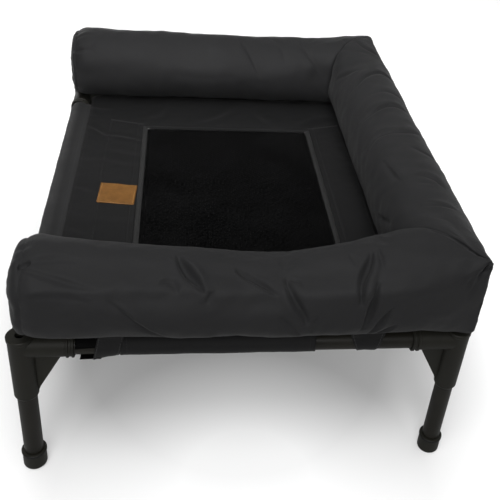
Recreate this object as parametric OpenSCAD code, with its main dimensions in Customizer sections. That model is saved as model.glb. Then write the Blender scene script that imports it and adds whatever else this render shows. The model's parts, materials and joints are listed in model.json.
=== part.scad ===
// Raised dog bed: a knock-down tube frame on four legs, a dished fabric sling with a mesh middle, and
// stuffed bolsters on three sides. The long side at -X is the open entrance. All sizes in millimetres.

/* [Frame] */
// Distance between the leg axes across the short side
leg_span_x = 564; // [420:1:900]
// Distance between the leg axes along the long side
leg_span_y = 720; // [560:1:1200]
// Height of the connector tops above the floor
frame_h = 235; // [190:1:400]
// Outside diameter of every frame tube
tube_d = 25.4; // [19:0.1:32]
// Wall of the frame tubes
tube_wall = 1.2; // [0.8:0.1:2.5]
// Clearance all round a tube in its socket
tube_fit = 0.15; // [0.1:0.05:0.4]

/* [Corner connector] */
// Length of the barrel that holds the leg
barrel_h = 101; // [70:1:150]
// Wall of the barrel round the leg socket
barrel_wall = 2.8; // [2:0.1:5]
// Extra barrel radius at the top, the moulding's draft
barrel_draft = 0.4; // [0:0.1:1]
// Thickness of the barrel's closed top
top_t = 7; // [4:0.5:12]
// Height of the lip round the top
lip_h = 5; // [3:0.5:8]
// How far the lip stands out
lip_out = 0.95; // [0.5:0.05:2]
// Hole through the closed top
top_hole_d = 12; // [5:0.5:18]
// Reach of each arm from the leg axis
arm_reach = 65; // [50:1:100]
// Wall of an arm round its rail socket
arm_wall = 2.3; // [1.8:0.1:4]
// Width of each of the two ribs at an arm's mouth
rib_w = 3.6; // [2:0.1:6]
// Gap between the ribs
rib_gap = 3.2; // [1.5:0.1:6]
// Height of a rib above the arm
rib_out = 1.4; // [0.8:0.1:2.5]
// Depth of the arms' ribs below the connector tops
rib_inset = 0.45; // [0.1:0.05:8]
// Thickness of the web under each arm
gusset_t = 4; // [2.5:0.5:8]
// Reach of the web along the arm from the leg axis
gusset_reach = 48; // [35:1:60]
// Height of the web's lowest point above the barrel's mouth
gusset_foot = 4; // [2:0.5:20]

/* [Foot cap] */
// Height of a foot cap
foot_h = 28; // [20:1:50]
// Wall of the cap round the leg
foot_wall = 2.9; // [2:0.1:5]
// Thickness under the leg's end
foot_floor = 6; // [4:0.5:12]
// Rounding of the bottom edge
foot_round = 4; // [1:0.5:6]
// Height of the bead at the cap's mouth
bead_h = 3.2; // [2:0.1:6]
// How far the bead stands out
bead_out = 0.9; // [0.4:0.1:2]

/* [Sling] */
// Thickness of the woven fabric
fabric_t = 1.2; // [0.6:0.1:2.5]
// Slack between a rail and the pocket round it
pocket_slack = 0.3; // [0.2:0.1:2]
// Distance from a rail's axis to the seam of its pocket
pocket_seam = 22; // [18:1:40]
// Length of the pockets on the front and back rails
pocket_l = 246; // [150:1:360]
// Place of those pockets along X, from the middle of the legs
pocket_x = -31; // [-60:1:60]
// Length of the pocket on the bolster's long rail
side_pocket_l = 300; // [200:1:420]
// How far the mesh lies below the pockets' tops
sling_sag = 11.5; // [4:0.5:40]
// Rounding of the sling's corners
sling_round = 30; // [10:1:60]
// Width of the mesh middle
mesh_w = 300; // [200:1:360]
// Length of the mesh middle
mesh_l = 424; // [300:1:500]
// Thickness of the mesh
mesh_t = 0.8; // [0.4:0.1:1.5]
// Width of the folded bands along the mesh
band_w = 62; // [40:1:80]
// Length of the folded bands
band_l = 464; // [300:1:540]
// Thickness of the folded bands
band_t = 1; // [0.6:0.1:2.5]
// Width of the binding round the mesh
binding_w = 8; // [5:0.5:15]
// Thickness of the binding
binding_t = 1.4; // [0.8:0.1:3]
// Side of the label patch across the bed
label_w = 60; // [30:1:62]
// Side of the label patch along the bed
label_l = 58; // [30:1:90]
// Thickness of the label patch
label_t = 1.8; // [1:0.1:3]
// Place of the label along Y
label_y = -20; // [-80:1:80]

/* [Bolsters] */
// Width of a bolster
bolster_w = 118; // [90:1:160]
// Height of a bolster
bolster_h = 123; // [90:1:170]
// Rounding of a bolster's section
bolster_round = 50; // [30:1:58]
// How far the front and back bolsters reach past the leg axes
overhang_y = 40; // [20:1:59]
// How far the long bolster reaches past the leg axes
overhang_x = 35; // [20:1:59]
// How far the free ends reach past the leg axes
overhang_end = 17; // [5:1:40]
// Rounding of the free ends
end_round = 40; // [12:1:48]
// Thickness of the bolster covers
cover_t = 1.5; // [0.8:0.1:3]
// Gap between a cover and its filling
fill_gap = 0.3; // [0.2:0.1:2]
// Gap between two bolsters at a mitre
mitre_gap = 0.6; // [0.4:0.1:4]
// Gap between the connector tops and the bolsters that rest on them
rest_gap = 0.3; // [0.2:0.1:1]

/* [Straps] */
// Width of a strap
strap_w = 32; // [20:1:60]
// Thickness of a strap
strap_t = 1.6; // [0.8:0.1:3]
// Slack between a strap and its rail or bolster
strap_slack = 0.3; // [0.2:0.1:2]
// Gap along the rail between a pocket and the strap beside it
strap_gap = 1; // [0.5:0.5:30]
// Same gap at the far end of the front and back pockets, where a length of rail stays bare
bare_gap = 47; // [1:1:70]

/* [Hidden] */

$fn = 64;
// Overrun that keeps a cut clear of the face it leaves
cut = 1;
// Thickness of the slices that a hull is stretched over
slice_t = 0.01;

tube_r = tube_d / 2;
socket_r = tube_r + tube_fit;
barrel_r = socket_r + barrel_wall;
lip_r = barrel_r + barrel_draft + lip_out;
arm_r = socket_r + arm_wall;
barrel_z = frame_h - barrel_h;
rail_z = frame_h - rib_inset - rib_out - arm_r;
leg_top = frame_h - top_t;
// The rails stop short of the barrel's bore, so the leg passes them
rail_stop = barrel_r + arm_wall + cut;
// Bevel round the mouth of a socket
lead_in = 1.2;

// The origin is at the middle of the whole bed's footprint, so the legs sit off centre along X
end_reach = max(overhang_end, lip_r);
shift_x = (overhang_x - end_reach) / 2;
left_x = -leg_span_x / 2 - shift_x;
right_x = leg_span_x / 2 - shift_x;
front_y = -leg_span_y / 2;
back_y = leg_span_y / 2;

pocket_in_r = tube_r + pocket_slack;
pocket_r = pocket_in_r + fabric_t;
pocket_top = rail_z + pocket_r;
sling_x = (left_x + right_x) / 2;
// Half sizes of the sling inside the pockets' seams, and of the mesh
sling_half = [leg_span_x / 2 - pocket_seam, leg_span_y / 2 - pocket_seam];
mesh_half = [mesh_w / 2, mesh_l / 2];
mesh_z = pocket_top - sling_sag;
// Share by which the dish is drawn past the sling's edge before it is trimmed
dish_over = 1.2;
seam_gap = 0.1;
// Distance of a band's middle from the middle of the sling
band_x = mesh_half[0] + binding_w + seam_gap + band_w / 2;

bolster_z = frame_h + rest_gap + bolster_h / 2;
bolster_out_x = right_x + overhang_x;
bolster_out_y = back_y + overhang_y;
bolster_end_x = left_x - overhang_end;
// A mitre runs at 45 degrees, so a gap across it is this much along an axis
diagonal = sqrt(2);

// A rectangle with true round corners, centred on the origin.
module rounded_rect(w, h, r) {
    square([w - 2 * r, h], center = true);
    square([w, h - 2 * r], center = true);
    for (sx = [-1, 1], sy = [-1, 1])
        translate([sx * (w / 2 - r), sy * (h / 2 - r)])
            circle(r = r);
}

// Places its children along +X or +Y, from a shape drawn along +Z.
module along_x() { rotate([0, 90, 0]) children(); }
module along_y() { rotate([-90, 0, 0]) children(); }

// ---------------------------------------------------------------- frame

module tube(length) {
    difference() {
        cylinder(r = tube_r, h = length);
        translate([0, 0, -cut]) cylinder(r = tube_r - tube_wall, h = length + 2 * cut);
    }
}

// Half section of an arm: a plain neck, then two ribs with bevelled edges at the mouth.
module arm_profile() {
    bevel = rib_out / 2;
    first = arm_reach - 2 * rib_w - rib_gap;
    second = arm_reach - rib_w;
    rib_r = arm_r + rib_out;
    polygon([
        [0, 0], [arm_r, 0],
        [arm_r, first], [rib_r, first + bevel], [rib_r, first + rib_w - bevel], [arm_r, first + rib_w],
        [arm_r, second], [rib_r, second + bevel], [rib_r, arm_reach - bevel], [arm_r, arm_reach],
        [0, arm_reach]
    ]);
}

// Half section of the barrel, from its bevelled mouth up to the lip.
module barrel_profile() {
    bevel = 2.5;
    top_r = barrel_r + barrel_draft;
    edge = lip_out;
    polygon([
        [0, barrel_z], [barrel_r - bevel / 2, barrel_z], [barrel_r, barrel_z + bevel],
        [top_r, frame_h - lip_h - edge], [lip_r, frame_h - lip_h],
        [lip_r, frame_h - edge], [lip_r - edge, frame_h], [0, frame_h]
    ]);
}

// The web in the corner between the barrel and an arm: a slope, then a short steep step at its foot.
module gusset() {
    top = rail_z - arm_r + cut;
    knee = 3.4;
    knee_z = barrel_z + gusset_foot + 11;
    rotate([90, 0, 0])
        linear_extrude(gusset_t, center = true)
            polygon([
                [barrel_r - cut, top], [gusset_reach, top], [gusset_reach, top - 2 * cut],
                [barrel_r + knee, knee_z], [barrel_r - cut, barrel_z + gusset_foot]
            ]);
}

// A socket with a bevelled mouth, along +Z, from its stop to its mouth.
module socket(from, to) {
    translate([0, 0, from]) cylinder(r = socket_r, h = to - from + cut);
    translate([0, 0, to - lead_in]) cylinder(r1 = socket_r, r2 = socket_r + lead_in, h = lead_in + slice_t);
}

// Three-way connector with its leg axis on Z, its arms towards +X and +Y.
module corner_connector() {
    difference() {
        union() {
            rotate_extrude() barrel_profile();
            translate([0, 0, rail_z]) along_x() rotate_extrude() arm_profile();
            translate([0, 0, rail_z]) along_y() rotate_extrude() arm_profile();
            gusset();
            rotate([0, 0, 90]) gusset();
        }
        translate([0, 0, barrel_z]) mirror([0, 0, 1]) socket(-barrel_h + top_t, 0);
        translate([0, 0, leg_top - cut]) cylinder(d = top_hole_d, h = top_t + 2 * cut);
        translate([0, 0, rail_z]) along_x() socket(rail_stop, arm_reach);
        translate([0, 0, rail_z]) along_y() socket(rail_stop, arm_reach);
    }
}

// Puts a front left corner's part at any corner: -1 or 1 along X and along Y.
module at_corner(sx, sy) {
    translate([sx < 0 ? left_x : right_x, sy < 0 ? front_y : back_y, 0])
        mirror([sx < 0 ? 0 : 1, 0, 0])
            mirror([0, sy < 0 ? 0 : 1, 0])
                children();
}

module connector_at(sx, sy) { color([0.16, 0.16, 0.14]) at_corner(sx, sy) corner_connector(); }

module leg_tube_at(sx, sy) {
    color([0.12, 0.12, 0.11])
        at_corner(sx, sy)
            translate([0, 0, foot_floor]) tube(leg_top - foot_floor);
}

// Moulded cap: a round-edged cup with a bead at its mouth and a grip groove under it.
module foot_cap() {
    r = socket_r + foot_wall;
    bevel = bead_out;
    groove_r = [4.5, 7];
    groove_depth = 1;
    difference() {
        rotate_extrude() {
            translate([0, foot_round]) square([r, foot_h - foot_round - bead_h]);
            square([r - foot_round, foot_round + cut]);
            intersection() {
                translate([r - foot_round, foot_round]) circle(r = foot_round);
                translate([r - foot_round, 0]) square(foot_round);
            }
            polygon([
                [0, foot_h - bead_h - bevel], [r, foot_h - bead_h - bevel], [r + bead_out, foot_h - bead_h],
                [r + bead_out, foot_h - bevel], [r, foot_h], [0, foot_h]
            ]);
        }
        translate([0, 0, foot_floor]) cylinder(r = socket_r, h = foot_h);
        difference() {
            translate([0, 0, -cut]) cylinder(r = groove_r[1], h = groove_depth + cut);
            translate([0, 0, -2 * cut]) cylinder(r = groove_r[0], h = groove_depth + 4 * cut);
        }
    }
}

module foot_cap_at(sx, sy) { color([0.15, 0.15, 0.13]) at_corner(sx, sy) foot_cap(); }

module rail_x(y) {
    color([0.12, 0.12, 0.11])
        translate([left_x + rail_stop, y, rail_z])
            along_x() tube(leg_span_x - 2 * rail_stop);
}

module rail_y(x) {
    color([0.12, 0.12, 0.11])
        translate([x, front_y + rail_stop, rail_z])
            along_y() tube(leg_span_y - 2 * rail_stop);
}

// ---------------------------------------------------------------- sling

// Section of a pocket: a ring round the rail and the seam's lap towards +X, level with the ring's top.
module pocket_section() {
    difference() {
        union() {
            circle(r = pocket_r);
            translate([0, pocket_in_r]) square([pocket_seam, fabric_t]);
        }
        circle(r = pocket_in_r);
    }
}

// A pocket on a rail along X, its lap towards the middle of the bed: side is -1 at the front, 1 at the back.
module pocket_x_at(side, length) {
    color([0.17, 0.17, 0.17])
        translate([sling_x + pocket_x, side * back_y, rail_z])
            rotate([90, 0, -side * 90])
                linear_extrude(length, center = true) pocket_section();
}

// A pocket on a rail along Y: side is -1 at the left, 1 at the right.
module pocket_y_at(side, length) {
    color([0.17, 0.17, 0.17])
        translate([side < 0 ? left_x : right_x, 0, rail_z])
            mirror([side < 0 ? 0 : 1, 0, 0])
                rotate([90, 0, 0])
                    linear_extrude(length, center = true) pocket_section();
}

// The space over the dished sling: flat over the mesh, then rising evenly to the pockets' seams.
module over_dish(lift) {
    rim = mesh_half + dish_over * (sling_half - mesh_half);
    translate([sling_x, 0, mesh_z + lift])
        hull() {
            linear_extrude(slice_t) square(2 * mesh_half, center = true);
            translate([0, 0, dish_over * sling_sag]) linear_extrude(slice_t) square(2 * rim, center = true);
        }
}

// A layer that follows the dish, from one height above its surface to another.
module dish_layer(low, high) {
    difference() {
        over_dish(low);
        over_dish(high);
    }
}

// A flat outline stood up as a block that reaches well past the dish both ways.
module over_sling() {
    translate([sling_x, 0, mesh_z - 2 * sling_sag])
        linear_extrude(5 * sling_sag)
            children();
}

module sling_border() {
    color([0.15, 0.15, 0.15])
        difference() {
            intersection() {
                dish_layer(-fabric_t, 0);
                over_sling() rounded_rect(2 * sling_half[0], 2 * sling_half[1], sling_round);
            }
            over_sling() square(2 * mesh_half, center = true);
        }
}

// A folded band beside the mesh: side is -1 at the left, 1 at the right.
module sling_band(side) {
    color([0.2, 0.2, 0.2])
        intersection() {
            dish_layer(seam_gap, seam_gap + band_t);
            over_sling()
                translate([side * band_x, 0])
                    square([band_w, band_l], center = true);
        }
}

module mesh_panel() {
    color([0.05, 0.05, 0.05])
        translate([sling_x, 0, mesh_z - mesh_t])
            linear_extrude(mesh_t)
                square([mesh_w - 2 * seam_gap, mesh_l - 2 * seam_gap], center = true);
}

// Binding tape on the sling's edge, all round the mesh.
module mesh_binding() {
    color([0.24, 0.24, 0.23])
        difference() {
            intersection() {
                dish_layer(seam_gap, seam_gap + binding_t);
                over_sling() square(2 * (mesh_half + [binding_w, binding_w]), center = true);
            }
            over_sling() square(2 * mesh_half, center = true);
        }
}

// Bare patch sewn on the middle of the left band.
module label_patch() {
    corner = 3;
    bottom = 2 * seam_gap + band_t;
    color([0.55, 0.36, 0.2])
        intersection() {
            dish_layer(bottom, bottom + label_t);
            over_sling()
                translate([-band_x, label_y])
                    rounded_rect(label_w, label_l, corner);
        }
}

// ---------------------------------------------------------------- bolsters

module bolster_section(inset) {
    rounded_rect(bolster_w - 2 * inset, bolster_h - 2 * inset, bolster_round - inset);
}

// Outline of a bolster from its free end to past its mitre, as wide as it is seen from above or from the
// side, with round corners at the free end.
module free_end(width, inset) {
    start = bolster_end_x + inset;
    r = end_round - inset;
    side = width / 2 - inset;
    translate([start + r, -side]) square([bolster_out_x - start, 2 * side]);
    translate([start, -side + r]) square([2 * r, 2 * (side - r)]);
    for (s = [-1, 1])
        translate([start + r, s * (side - r)])
            circle(r = r);
}

// A bolster along X with a round free end, cut off by the mitre at its other end. The front one: the
// back one is its mirror image. inset draws it smaller all round.
module bolster_x(inset) {
    across = bolster_w + cut;
    skew = (mitre_gap / 2 + inset) * diagonal;
    intersection() {
        translate([0, -bolster_out_y + bolster_w / 2, bolster_z])
            intersection() {
                translate([bolster_end_x, 0, 0])
                    rotate([90, 0, 90])
                        linear_extrude(bolster_out_x - bolster_end_x) bolster_section(inset);
                linear_extrude(bolster_h, center = true) free_end(bolster_w, inset);
                rotate([90, 0, 0])
                    linear_extrude(bolster_w, center = true) free_end(bolster_h, inset);
            }
        linear_extrude(bolster_z + bolster_h)
            polygon([
                [bolster_end_x - cut, -bolster_out_y - cut],
                [bolster_out_x + cut - skew, -bolster_out_y - cut],
                [bolster_out_x - across - skew, -bolster_out_y + across],
                [bolster_end_x - cut, -bolster_out_y + across]
            ]);
    }
}

// The long bolster along Y, mitred at both ends.
module bolster_y(inset) {
    across = bolster_w + cut;
    skew = (mitre_gap / 2 + inset) * diagonal;
    intersection() {
        translate([bolster_out_x - bolster_w / 2, 0, bolster_z])
            rotate([90, 0, 0])
                linear_extrude(2 * bolster_out_y, center = true) bolster_section(inset);
        linear_extrude(bolster_z + bolster_h)
            polygon([
                [bolster_out_x + cut, -bolster_out_y - cut + skew],
                [bolster_out_x + cut, bolster_out_y + cut - skew],
                [bolster_out_x - across, bolster_out_y - across - skew],
                [bolster_out_x - across, -bolster_out_y + across + skew]
            ]);
    }
}

// Front or back: side is -1 at the front, 1 at the back.
module bolster_cover_x(side) {
    color([0.2, 0.2, 0.21])
        mirror([0, side < 0 ? 0 : 1, 0])
            difference() {
                bolster_x(0);
                bolster_x(cover_t);
            }
}

module bolster_cover_y() {
    color([0.2, 0.2, 0.21])
        difference() {
            bolster_y(0);
            bolster_y(cover_t);
        }
}

module bolster_fill_x(side) {
    color("white")
        mirror([0, side < 0 ? 0 : 1, 0])
            bolster_x(cover_t + fill_gap);
}

module bolster_fill_y() { color("white") bolster_y(cover_t + fill_gap); }

// ---------------------------------------------------------------- straps

// Section of a strap: a loop round the rail, open at the top where it is sewn to the bolster. overhang
// is how far that bolster reaches past the rail, which is towards -X here.
module strap_section(overhang) {
    in_r = tube_r + strap_slack;
    out_r = in_r + strap_t;
    rise = bolster_z - rail_z;
    difference() {
        union() {
            circle(r = out_r);
            translate([-out_r, 0]) square([2 * out_r, rise]);
        }
        circle(r = in_r);
        translate([-in_r, 0]) square([2 * in_r, rise + cut]);
        translate([bolster_w / 2 - overhang, rise])
            rounded_rect(
                bolster_w + 2 * strap_slack,
                bolster_h + 2 * strap_slack,
                bolster_round + strap_slack
            );
    }
}

// A strap round the front or back rail, at a place along X from the middle of the legs.
module strap_x_at(side, x) {
    color([0.1, 0.1, 0.1])
        translate([sling_x + x, side * back_y, rail_z])
            rotate([90, 0, -side * 90])
                linear_extrude(strap_w, center = true) strap_section(overhang_y);
}

// A strap round the right rail, at a place along Y.
module strap_y_at(y) {
    color([0.1, 0.1, 0.1])
        translate([right_x, y, rail_z])
            mirror([1, 0, 0])
                rotate([90, 0, 0])
                    linear_extrude(strap_w, center = true) strap_section(overhang_x);
}

// Length of the left pocket: all of the rail that the connectors leave bare.
left_pocket_l = leg_span_y - 2 * (arm_reach + 2 * cut);
strap_left = pocket_x - pocket_l / 2 - strap_gap - strap_w / 2;
strap_right = pocket_x + pocket_l / 2 + bare_gap + strap_w / 2;
strap_side = side_pocket_l / 2 + strap_gap + strap_w / 2;

connector_at(-1, -1);  // corner_connector_front_left
connector_at(1, -1);  // corner_connector_front_right
connector_at(-1, 1);  // corner_connector_back_left
connector_at(1, 1);  // corner_connector_back_right
leg_tube_at(-1, -1);  // leg_tube_front_left
leg_tube_at(1, -1);  // leg_tube_front_right
leg_tube_at(-1, 1);  // leg_tube_back_left
leg_tube_at(1, 1);  // leg_tube_back_right
foot_cap_at(-1, -1);  // foot_cap_front_left
foot_cap_at(1, -1);  // foot_cap_front_right
foot_cap_at(-1, 1);  // foot_cap_back_left
foot_cap_at(1, 1);  // foot_cap_back_right
rail_x(front_y);  // rail_front
rail_x(back_y);  // rail_back
rail_y(left_x);  // rail_left
rail_y(right_x);  // rail_right
pocket_x_at(-1, pocket_l);  // rail_pocket_front
pocket_x_at(1, pocket_l);  // rail_pocket_back
pocket_y_at(-1, left_pocket_l);  // rail_pocket_left
pocket_y_at(1, side_pocket_l);  // rail_pocket_right
sling_border();
sling_band(-1);  // sling_band_left
sling_band(1);  // sling_band_right
mesh_panel();
mesh_binding();
label_patch();
bolster_cover_x(-1);  // bolster_cover_front
bolster_cover_x(1);  // bolster_cover_back
bolster_cover_y();  // bolster_cover_right
bolster_fill_x(-1);  // bolster_fill_front
bolster_fill_x(1);  // bolster_fill_back
bolster_fill_y();  // bolster_fill_right
strap_x_at(-1, strap_left);  // strap_front_left
strap_x_at(-1, strap_right);  // strap_front_right
strap_x_at(1, strap_left);  // strap_back_left
strap_x_at(1, strap_right);  // strap_back_right
strap_y_at(-strap_side);  // strap_right_front
strap_y_at(strap_side);  // strap_right_back
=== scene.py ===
"""Looks of a raised dog bed: a tube frame, a fabric sling with a mesh middle, and three stuffed bolsters."""

import json
import math

import bmesh
import bpy
import numpy as np
from mathutils import Matrix, Vector

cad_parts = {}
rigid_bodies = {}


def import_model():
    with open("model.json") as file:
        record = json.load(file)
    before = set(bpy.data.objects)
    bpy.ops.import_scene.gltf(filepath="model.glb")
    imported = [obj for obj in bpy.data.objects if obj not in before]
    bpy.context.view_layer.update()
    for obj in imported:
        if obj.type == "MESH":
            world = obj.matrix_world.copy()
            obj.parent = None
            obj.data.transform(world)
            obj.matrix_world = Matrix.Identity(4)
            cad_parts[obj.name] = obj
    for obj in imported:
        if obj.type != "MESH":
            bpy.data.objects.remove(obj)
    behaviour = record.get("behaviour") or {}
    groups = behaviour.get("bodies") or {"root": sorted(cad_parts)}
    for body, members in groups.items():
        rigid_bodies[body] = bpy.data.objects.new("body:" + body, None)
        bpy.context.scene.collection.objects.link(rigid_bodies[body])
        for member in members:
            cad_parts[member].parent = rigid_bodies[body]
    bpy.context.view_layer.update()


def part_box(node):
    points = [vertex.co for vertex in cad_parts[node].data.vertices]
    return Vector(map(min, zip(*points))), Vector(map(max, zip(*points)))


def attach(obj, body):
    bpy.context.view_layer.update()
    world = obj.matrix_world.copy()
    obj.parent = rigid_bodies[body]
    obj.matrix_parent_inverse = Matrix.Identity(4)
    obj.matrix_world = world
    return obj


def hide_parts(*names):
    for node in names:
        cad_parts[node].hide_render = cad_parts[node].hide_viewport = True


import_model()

MM = 0.001
UP = (0, 0, 1)


def span(node):
    """A node's lowest and highest corner, as arrays."""
    lo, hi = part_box(node)
    return np.array(lo), np.array(hi)


def rail_middle(key):
    return sum(span(f"rail_{key}")) / 2


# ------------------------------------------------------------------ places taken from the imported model

mesh_lo, mesh_hi = span("mesh_panel")
border_lo, border_hi = span("sling_border")
binding_lo, binding_hi = span("mesh_binding")
label_lo, label_hi = span("label_patch")
front_lo = span("bolster_cover_front")[0]
right_lo, right_hi = span("bolster_cover_right")
tube_lo, tube_hi = span("rail_left")

SLING_X = (mesh_lo[0] + mesh_hi[0]) / 2
MESH_HALF = (mesh_hi[:2] - mesh_lo[:2]) / 2
SLING_HALF = (border_hi[:2] - border_lo[:2]) / 2
BIND_W = (binding_hi[0] - binding_lo[0]) / 2 - MESH_HALF[0]
BIND_HALF = MESH_HALF + BIND_W
MESH_Z = mesh_hi[2]
SEAM_Z = MESH_Z + 5.2 * MM
LEFT_X = rail_middle("left")[0]
RIGHT_X = rail_middle("right")[0]
FRONT_Y = rail_middle("front")[1]
BACK_Y = rail_middle("back")[1]
RAIL_Z = rail_middle("left")[2]
TUBE_R = (tube_hi[2] - tube_lo[2]) / 2


# ------------------------------------------------------------------ mesh building

def mesh_object(name, verts, faces):
    data = bpy.data.meshes.new(name)
    data.from_pydata([tuple(map(float, v)) for v in verts], [], faces)
    data.update()
    ob = bpy.data.objects.new(name, data)
    smooth(ob)
    bpy.context.scene.collection.objects.link(ob)
    return ob


def smooth(ob):
    ob.data.polygons.foreach_set("use_smooth", np.ones(len(ob.data.polygons), bool))


def grid_faces(nu, nv, wrap_v=False, keep=None):
    """Quads over an nu by nv grid of points stored row by row."""
    faces = []
    for i in range(nu - 1):
        for j in range(nv if wrap_v else nv - 1):
            if keep is not None and not keep[i, j]:
                continue
            k = (j + 1) % nv
            faces.append((i * nv + j, i * nv + k, (i + 1) * nv + k, (i + 1) * nv + j))
    return faces


def sheet_mesh(name, grid, keep=None):
    return mesh_object(name, grid.reshape(-1, 3), grid_faces(*grid.shape[:2], keep=keep))


def vectors(data, kind):
    """A mesh's points ("co") or their normals ("normal"), one to a row."""
    values = np.empty(len(data.vertices) * 3, np.float32)
    data.vertices.foreach_get(kind, values)
    return values.reshape(-1, 3).astype(float)


def coords(ob):
    return vectors(ob.data, "co")


def normals(ob):
    return vectors(ob.data, "normal")


def set_coords(ob, co):
    ob.data.vertices.foreach_set("co", np.ascontiguousarray(co, np.float32).ravel())
    ob.data.update()


def turn_outwards(ob):
    """Turns all faces of a closed mesh outwards."""
    bm = bmesh.new()
    bm.from_mesh(ob.data)
    bmesh.ops.recalc_face_normals(bm, faces=bm.faces)
    bm.to_mesh(ob.data)
    bm.free()
    ob.data.update()


def face_up(ob):
    """Turns an open sheet's faces so that its top side faces up."""
    if normals(ob)[:, 2].mean() < 0:
        ob.data.flip_normals()


def apply_modifiers(ob):
    made = bpy.data.meshes.new_from_object(ob.evaluated_get(bpy.context.evaluated_depsgraph_get()))
    old = ob.data
    ob.modifiers.clear()
    ob.data = made
    bpy.data.meshes.remove(old)
    smooth(ob)


def subdivide(ob):
    sub = ob.modifiers.new("subdivision", "SUBSURF")
    sub.levels = sub.render_levels = 1
    apply_modifiers(ob)


def thicken(ob, thickness):
    """Gives an open sheet two faces and a rim. The sheet's own face stays where it is."""
    solid = ob.modifiers.new("thickness", "SOLIDIFY")
    solid.thickness = thickness
    solid.offset = -1
    solid.use_even_offset = False
    apply_modifiers(ob)


def set_uv(ob, per_corner):
    """Writes fabric coordinates in metres. per_corner gets each face corner's point and its face's number."""
    data = ob.data
    loops = np.empty(len(data.loops), np.int32)
    data.loops.foreach_get("vertex_index", loops)
    totals = np.empty(len(data.polygons), np.int32)
    data.polygons.foreach_get("loop_total", totals)
    face = np.repeat(np.arange(len(totals)), totals)
    places = per_corner(coords(ob)[loops], face)
    layer = data.uv_layers.new(name="cloth")
    layer.data.foreach_set("uv", np.ascontiguousarray(places, np.float32).ravel())


def finish_piece(ob, material, replaced=()):
    ob.data.materials.clear()
    ob.data.materials.append(material)
    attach(ob, "root")
    if replaced:
        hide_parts(*replaced)
    return ob


def finish_flat(ob, thickness, material, replaced=()):
    """Finishes an open sheet that lies about flat. Its fabric coordinates are its places seen from above."""
    face_up(ob)
    if thickness:
        thicken(ob, thickness)
    set_uv(ob, lambda points, face: points[:, :2])
    return finish_piece(ob, material, replaced)


# ------------------------------------------------------------------ lines and curves

def ease(t):
    t = np.clip(t, 0, 1)
    return t * t * (3 - 2 * t)


def bell(distance, width):
    """1 at no distance, about a third at one width, and nothing far away."""
    return np.exp(-((distance / width) ** 2))


def lengths_along(points):
    """The length of a line of points up to each of them."""
    return np.concatenate([[0], np.cumsum(np.linalg.norm(np.diff(points, axis=0), axis=1))])


def points_at(where, run, points):
    """Points of a line at given lengths, where run holds the length up to each of its own."""
    return np.stack([np.interp(where, run, column) for column in points.T], 1)


def smooth_path(points, count=16):
    """A smooth curve through a few points."""
    points = np.array(points, float)
    if len(points) < 3:
        return points
    run = lengths_along(points)
    fit = np.polyfit(run / run[-1], points, min(len(points) - 1, 3))
    t = np.linspace(0, 1, count)
    return np.stack([np.polyval(fit[:, k], t) for k in (0, 1)], 1)


def smooth_line(points, count):
    """Evenly spaced points along a line drawn smoothly through the given ones."""
    points = np.array(points, float)
    padded = np.concatenate([[2 * points[0] - points[1]], points, [2 * points[-1] - points[-2]]])
    fine = []
    for k in range(1, len(padded) - 2):
        a, b, c, d = padded[k - 1:k + 3]
        for t in np.arange(12) / 12:
            square, cube = 2 * a - 5 * b + 4 * c - d, 3 * b - a - 3 * c + d
            fine.append(0.5 * (2 * b + (c - a) * t + square * t**2 + cube * t**3))
    fine = np.array(fine + [points[-1]])
    run = lengths_along(fine)
    return points_at(np.linspace(0, run[-1], count), run, fine)


def lines(stops, step):
    """Grid lines that hit every stop, with about even steps between."""
    made = [stops[0]]
    for a, b in zip(stops[:-1], stops[1:]):
        n = max(1, int(round((b - a) / step)))
        made += [a + (b - a) * k / n for k in range(1, n + 1)]
    return np.array(made)


def round_corners(u, v, half, radius):
    """Pulls the corners of a grid round the middle in to arcs. Also says how far inside its arc each
    point lies, and which points are the corners'."""
    over_u, over_v = np.abs(u) - (half[0] - radius), np.abs(v) - (half[1] - radius)
    corner = (over_u > 0) & (over_v > 0)
    far = np.hypot(over_u, over_v)
    scale = np.maximum(over_u, over_v) / np.maximum(far, 1e-9)
    new_u = np.where(corner, np.sign(u) * (half[0] - radius + over_u * scale), u)
    new_v = np.where(corner, np.sign(v) * (half[1] - radius + over_v * scale), v)
    return new_u, new_v, np.where(corner, radius - far * scale, 1), corner


# ------------------------------------------------------------------ folds in cloth

def path_distance(x, y, path):
    """Distance of points from a path, their place along it from 0 to 1, and the side they lie on."""
    path = np.array(path, float)
    seg = np.diff(path, axis=0)
    length = np.hypot(*seg.T)
    best = np.full(x.shape, 1e9)
    place = np.zeros(x.shape)
    side = np.ones(x.shape)
    run = 0.0
    for start, step, size in zip(path[:-1], seg, length):
        dx, dy = x - start[0], y - start[1]
        t = np.clip((dx * step[0] + dy * step[1]) / size**2, 0, 1)
        d = np.hypot(dx - t * step[0], dy - t * step[1])
        near = d < best
        best = np.where(near, d, best)
        place = np.where(near, (run + t * size) / length.sum(), place)
        side = np.where(near, np.sign(step[0] * dy - step[1] * dx), side)
        run += size
    return best, place, side


def swell(t, margin, power):
    """Rises towards the middle of a path and falls again, leaving out a margin at both ends."""
    return np.sin(np.pi * np.clip(margin + (1 - 2 * margin) * t, 0, 1)) ** power


def past_ends(d, t, width):
    """1 beside a path, and a bell past its ends."""
    return np.where((t <= 0) | (t >= 1), bell(d, width), 1)


def crease(x, y, points, depth, width, lip=0.45, lean=0.0):
    """Height of a fold: a narrow valley with soft lips that fades at its ends. lean lifts one lip more."""
    d, t, side = path_distance(x, y, smooth_path(points))
    valley = -depth * np.exp(-d / width)
    raised = lip * depth * bell(d - 2.4 * width, 1.5 * width) * (1 + lean * side)
    return (valley + raised) * swell(t, 0.08, 0.6) * past_ends(d, t, 2.2 * width)


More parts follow.
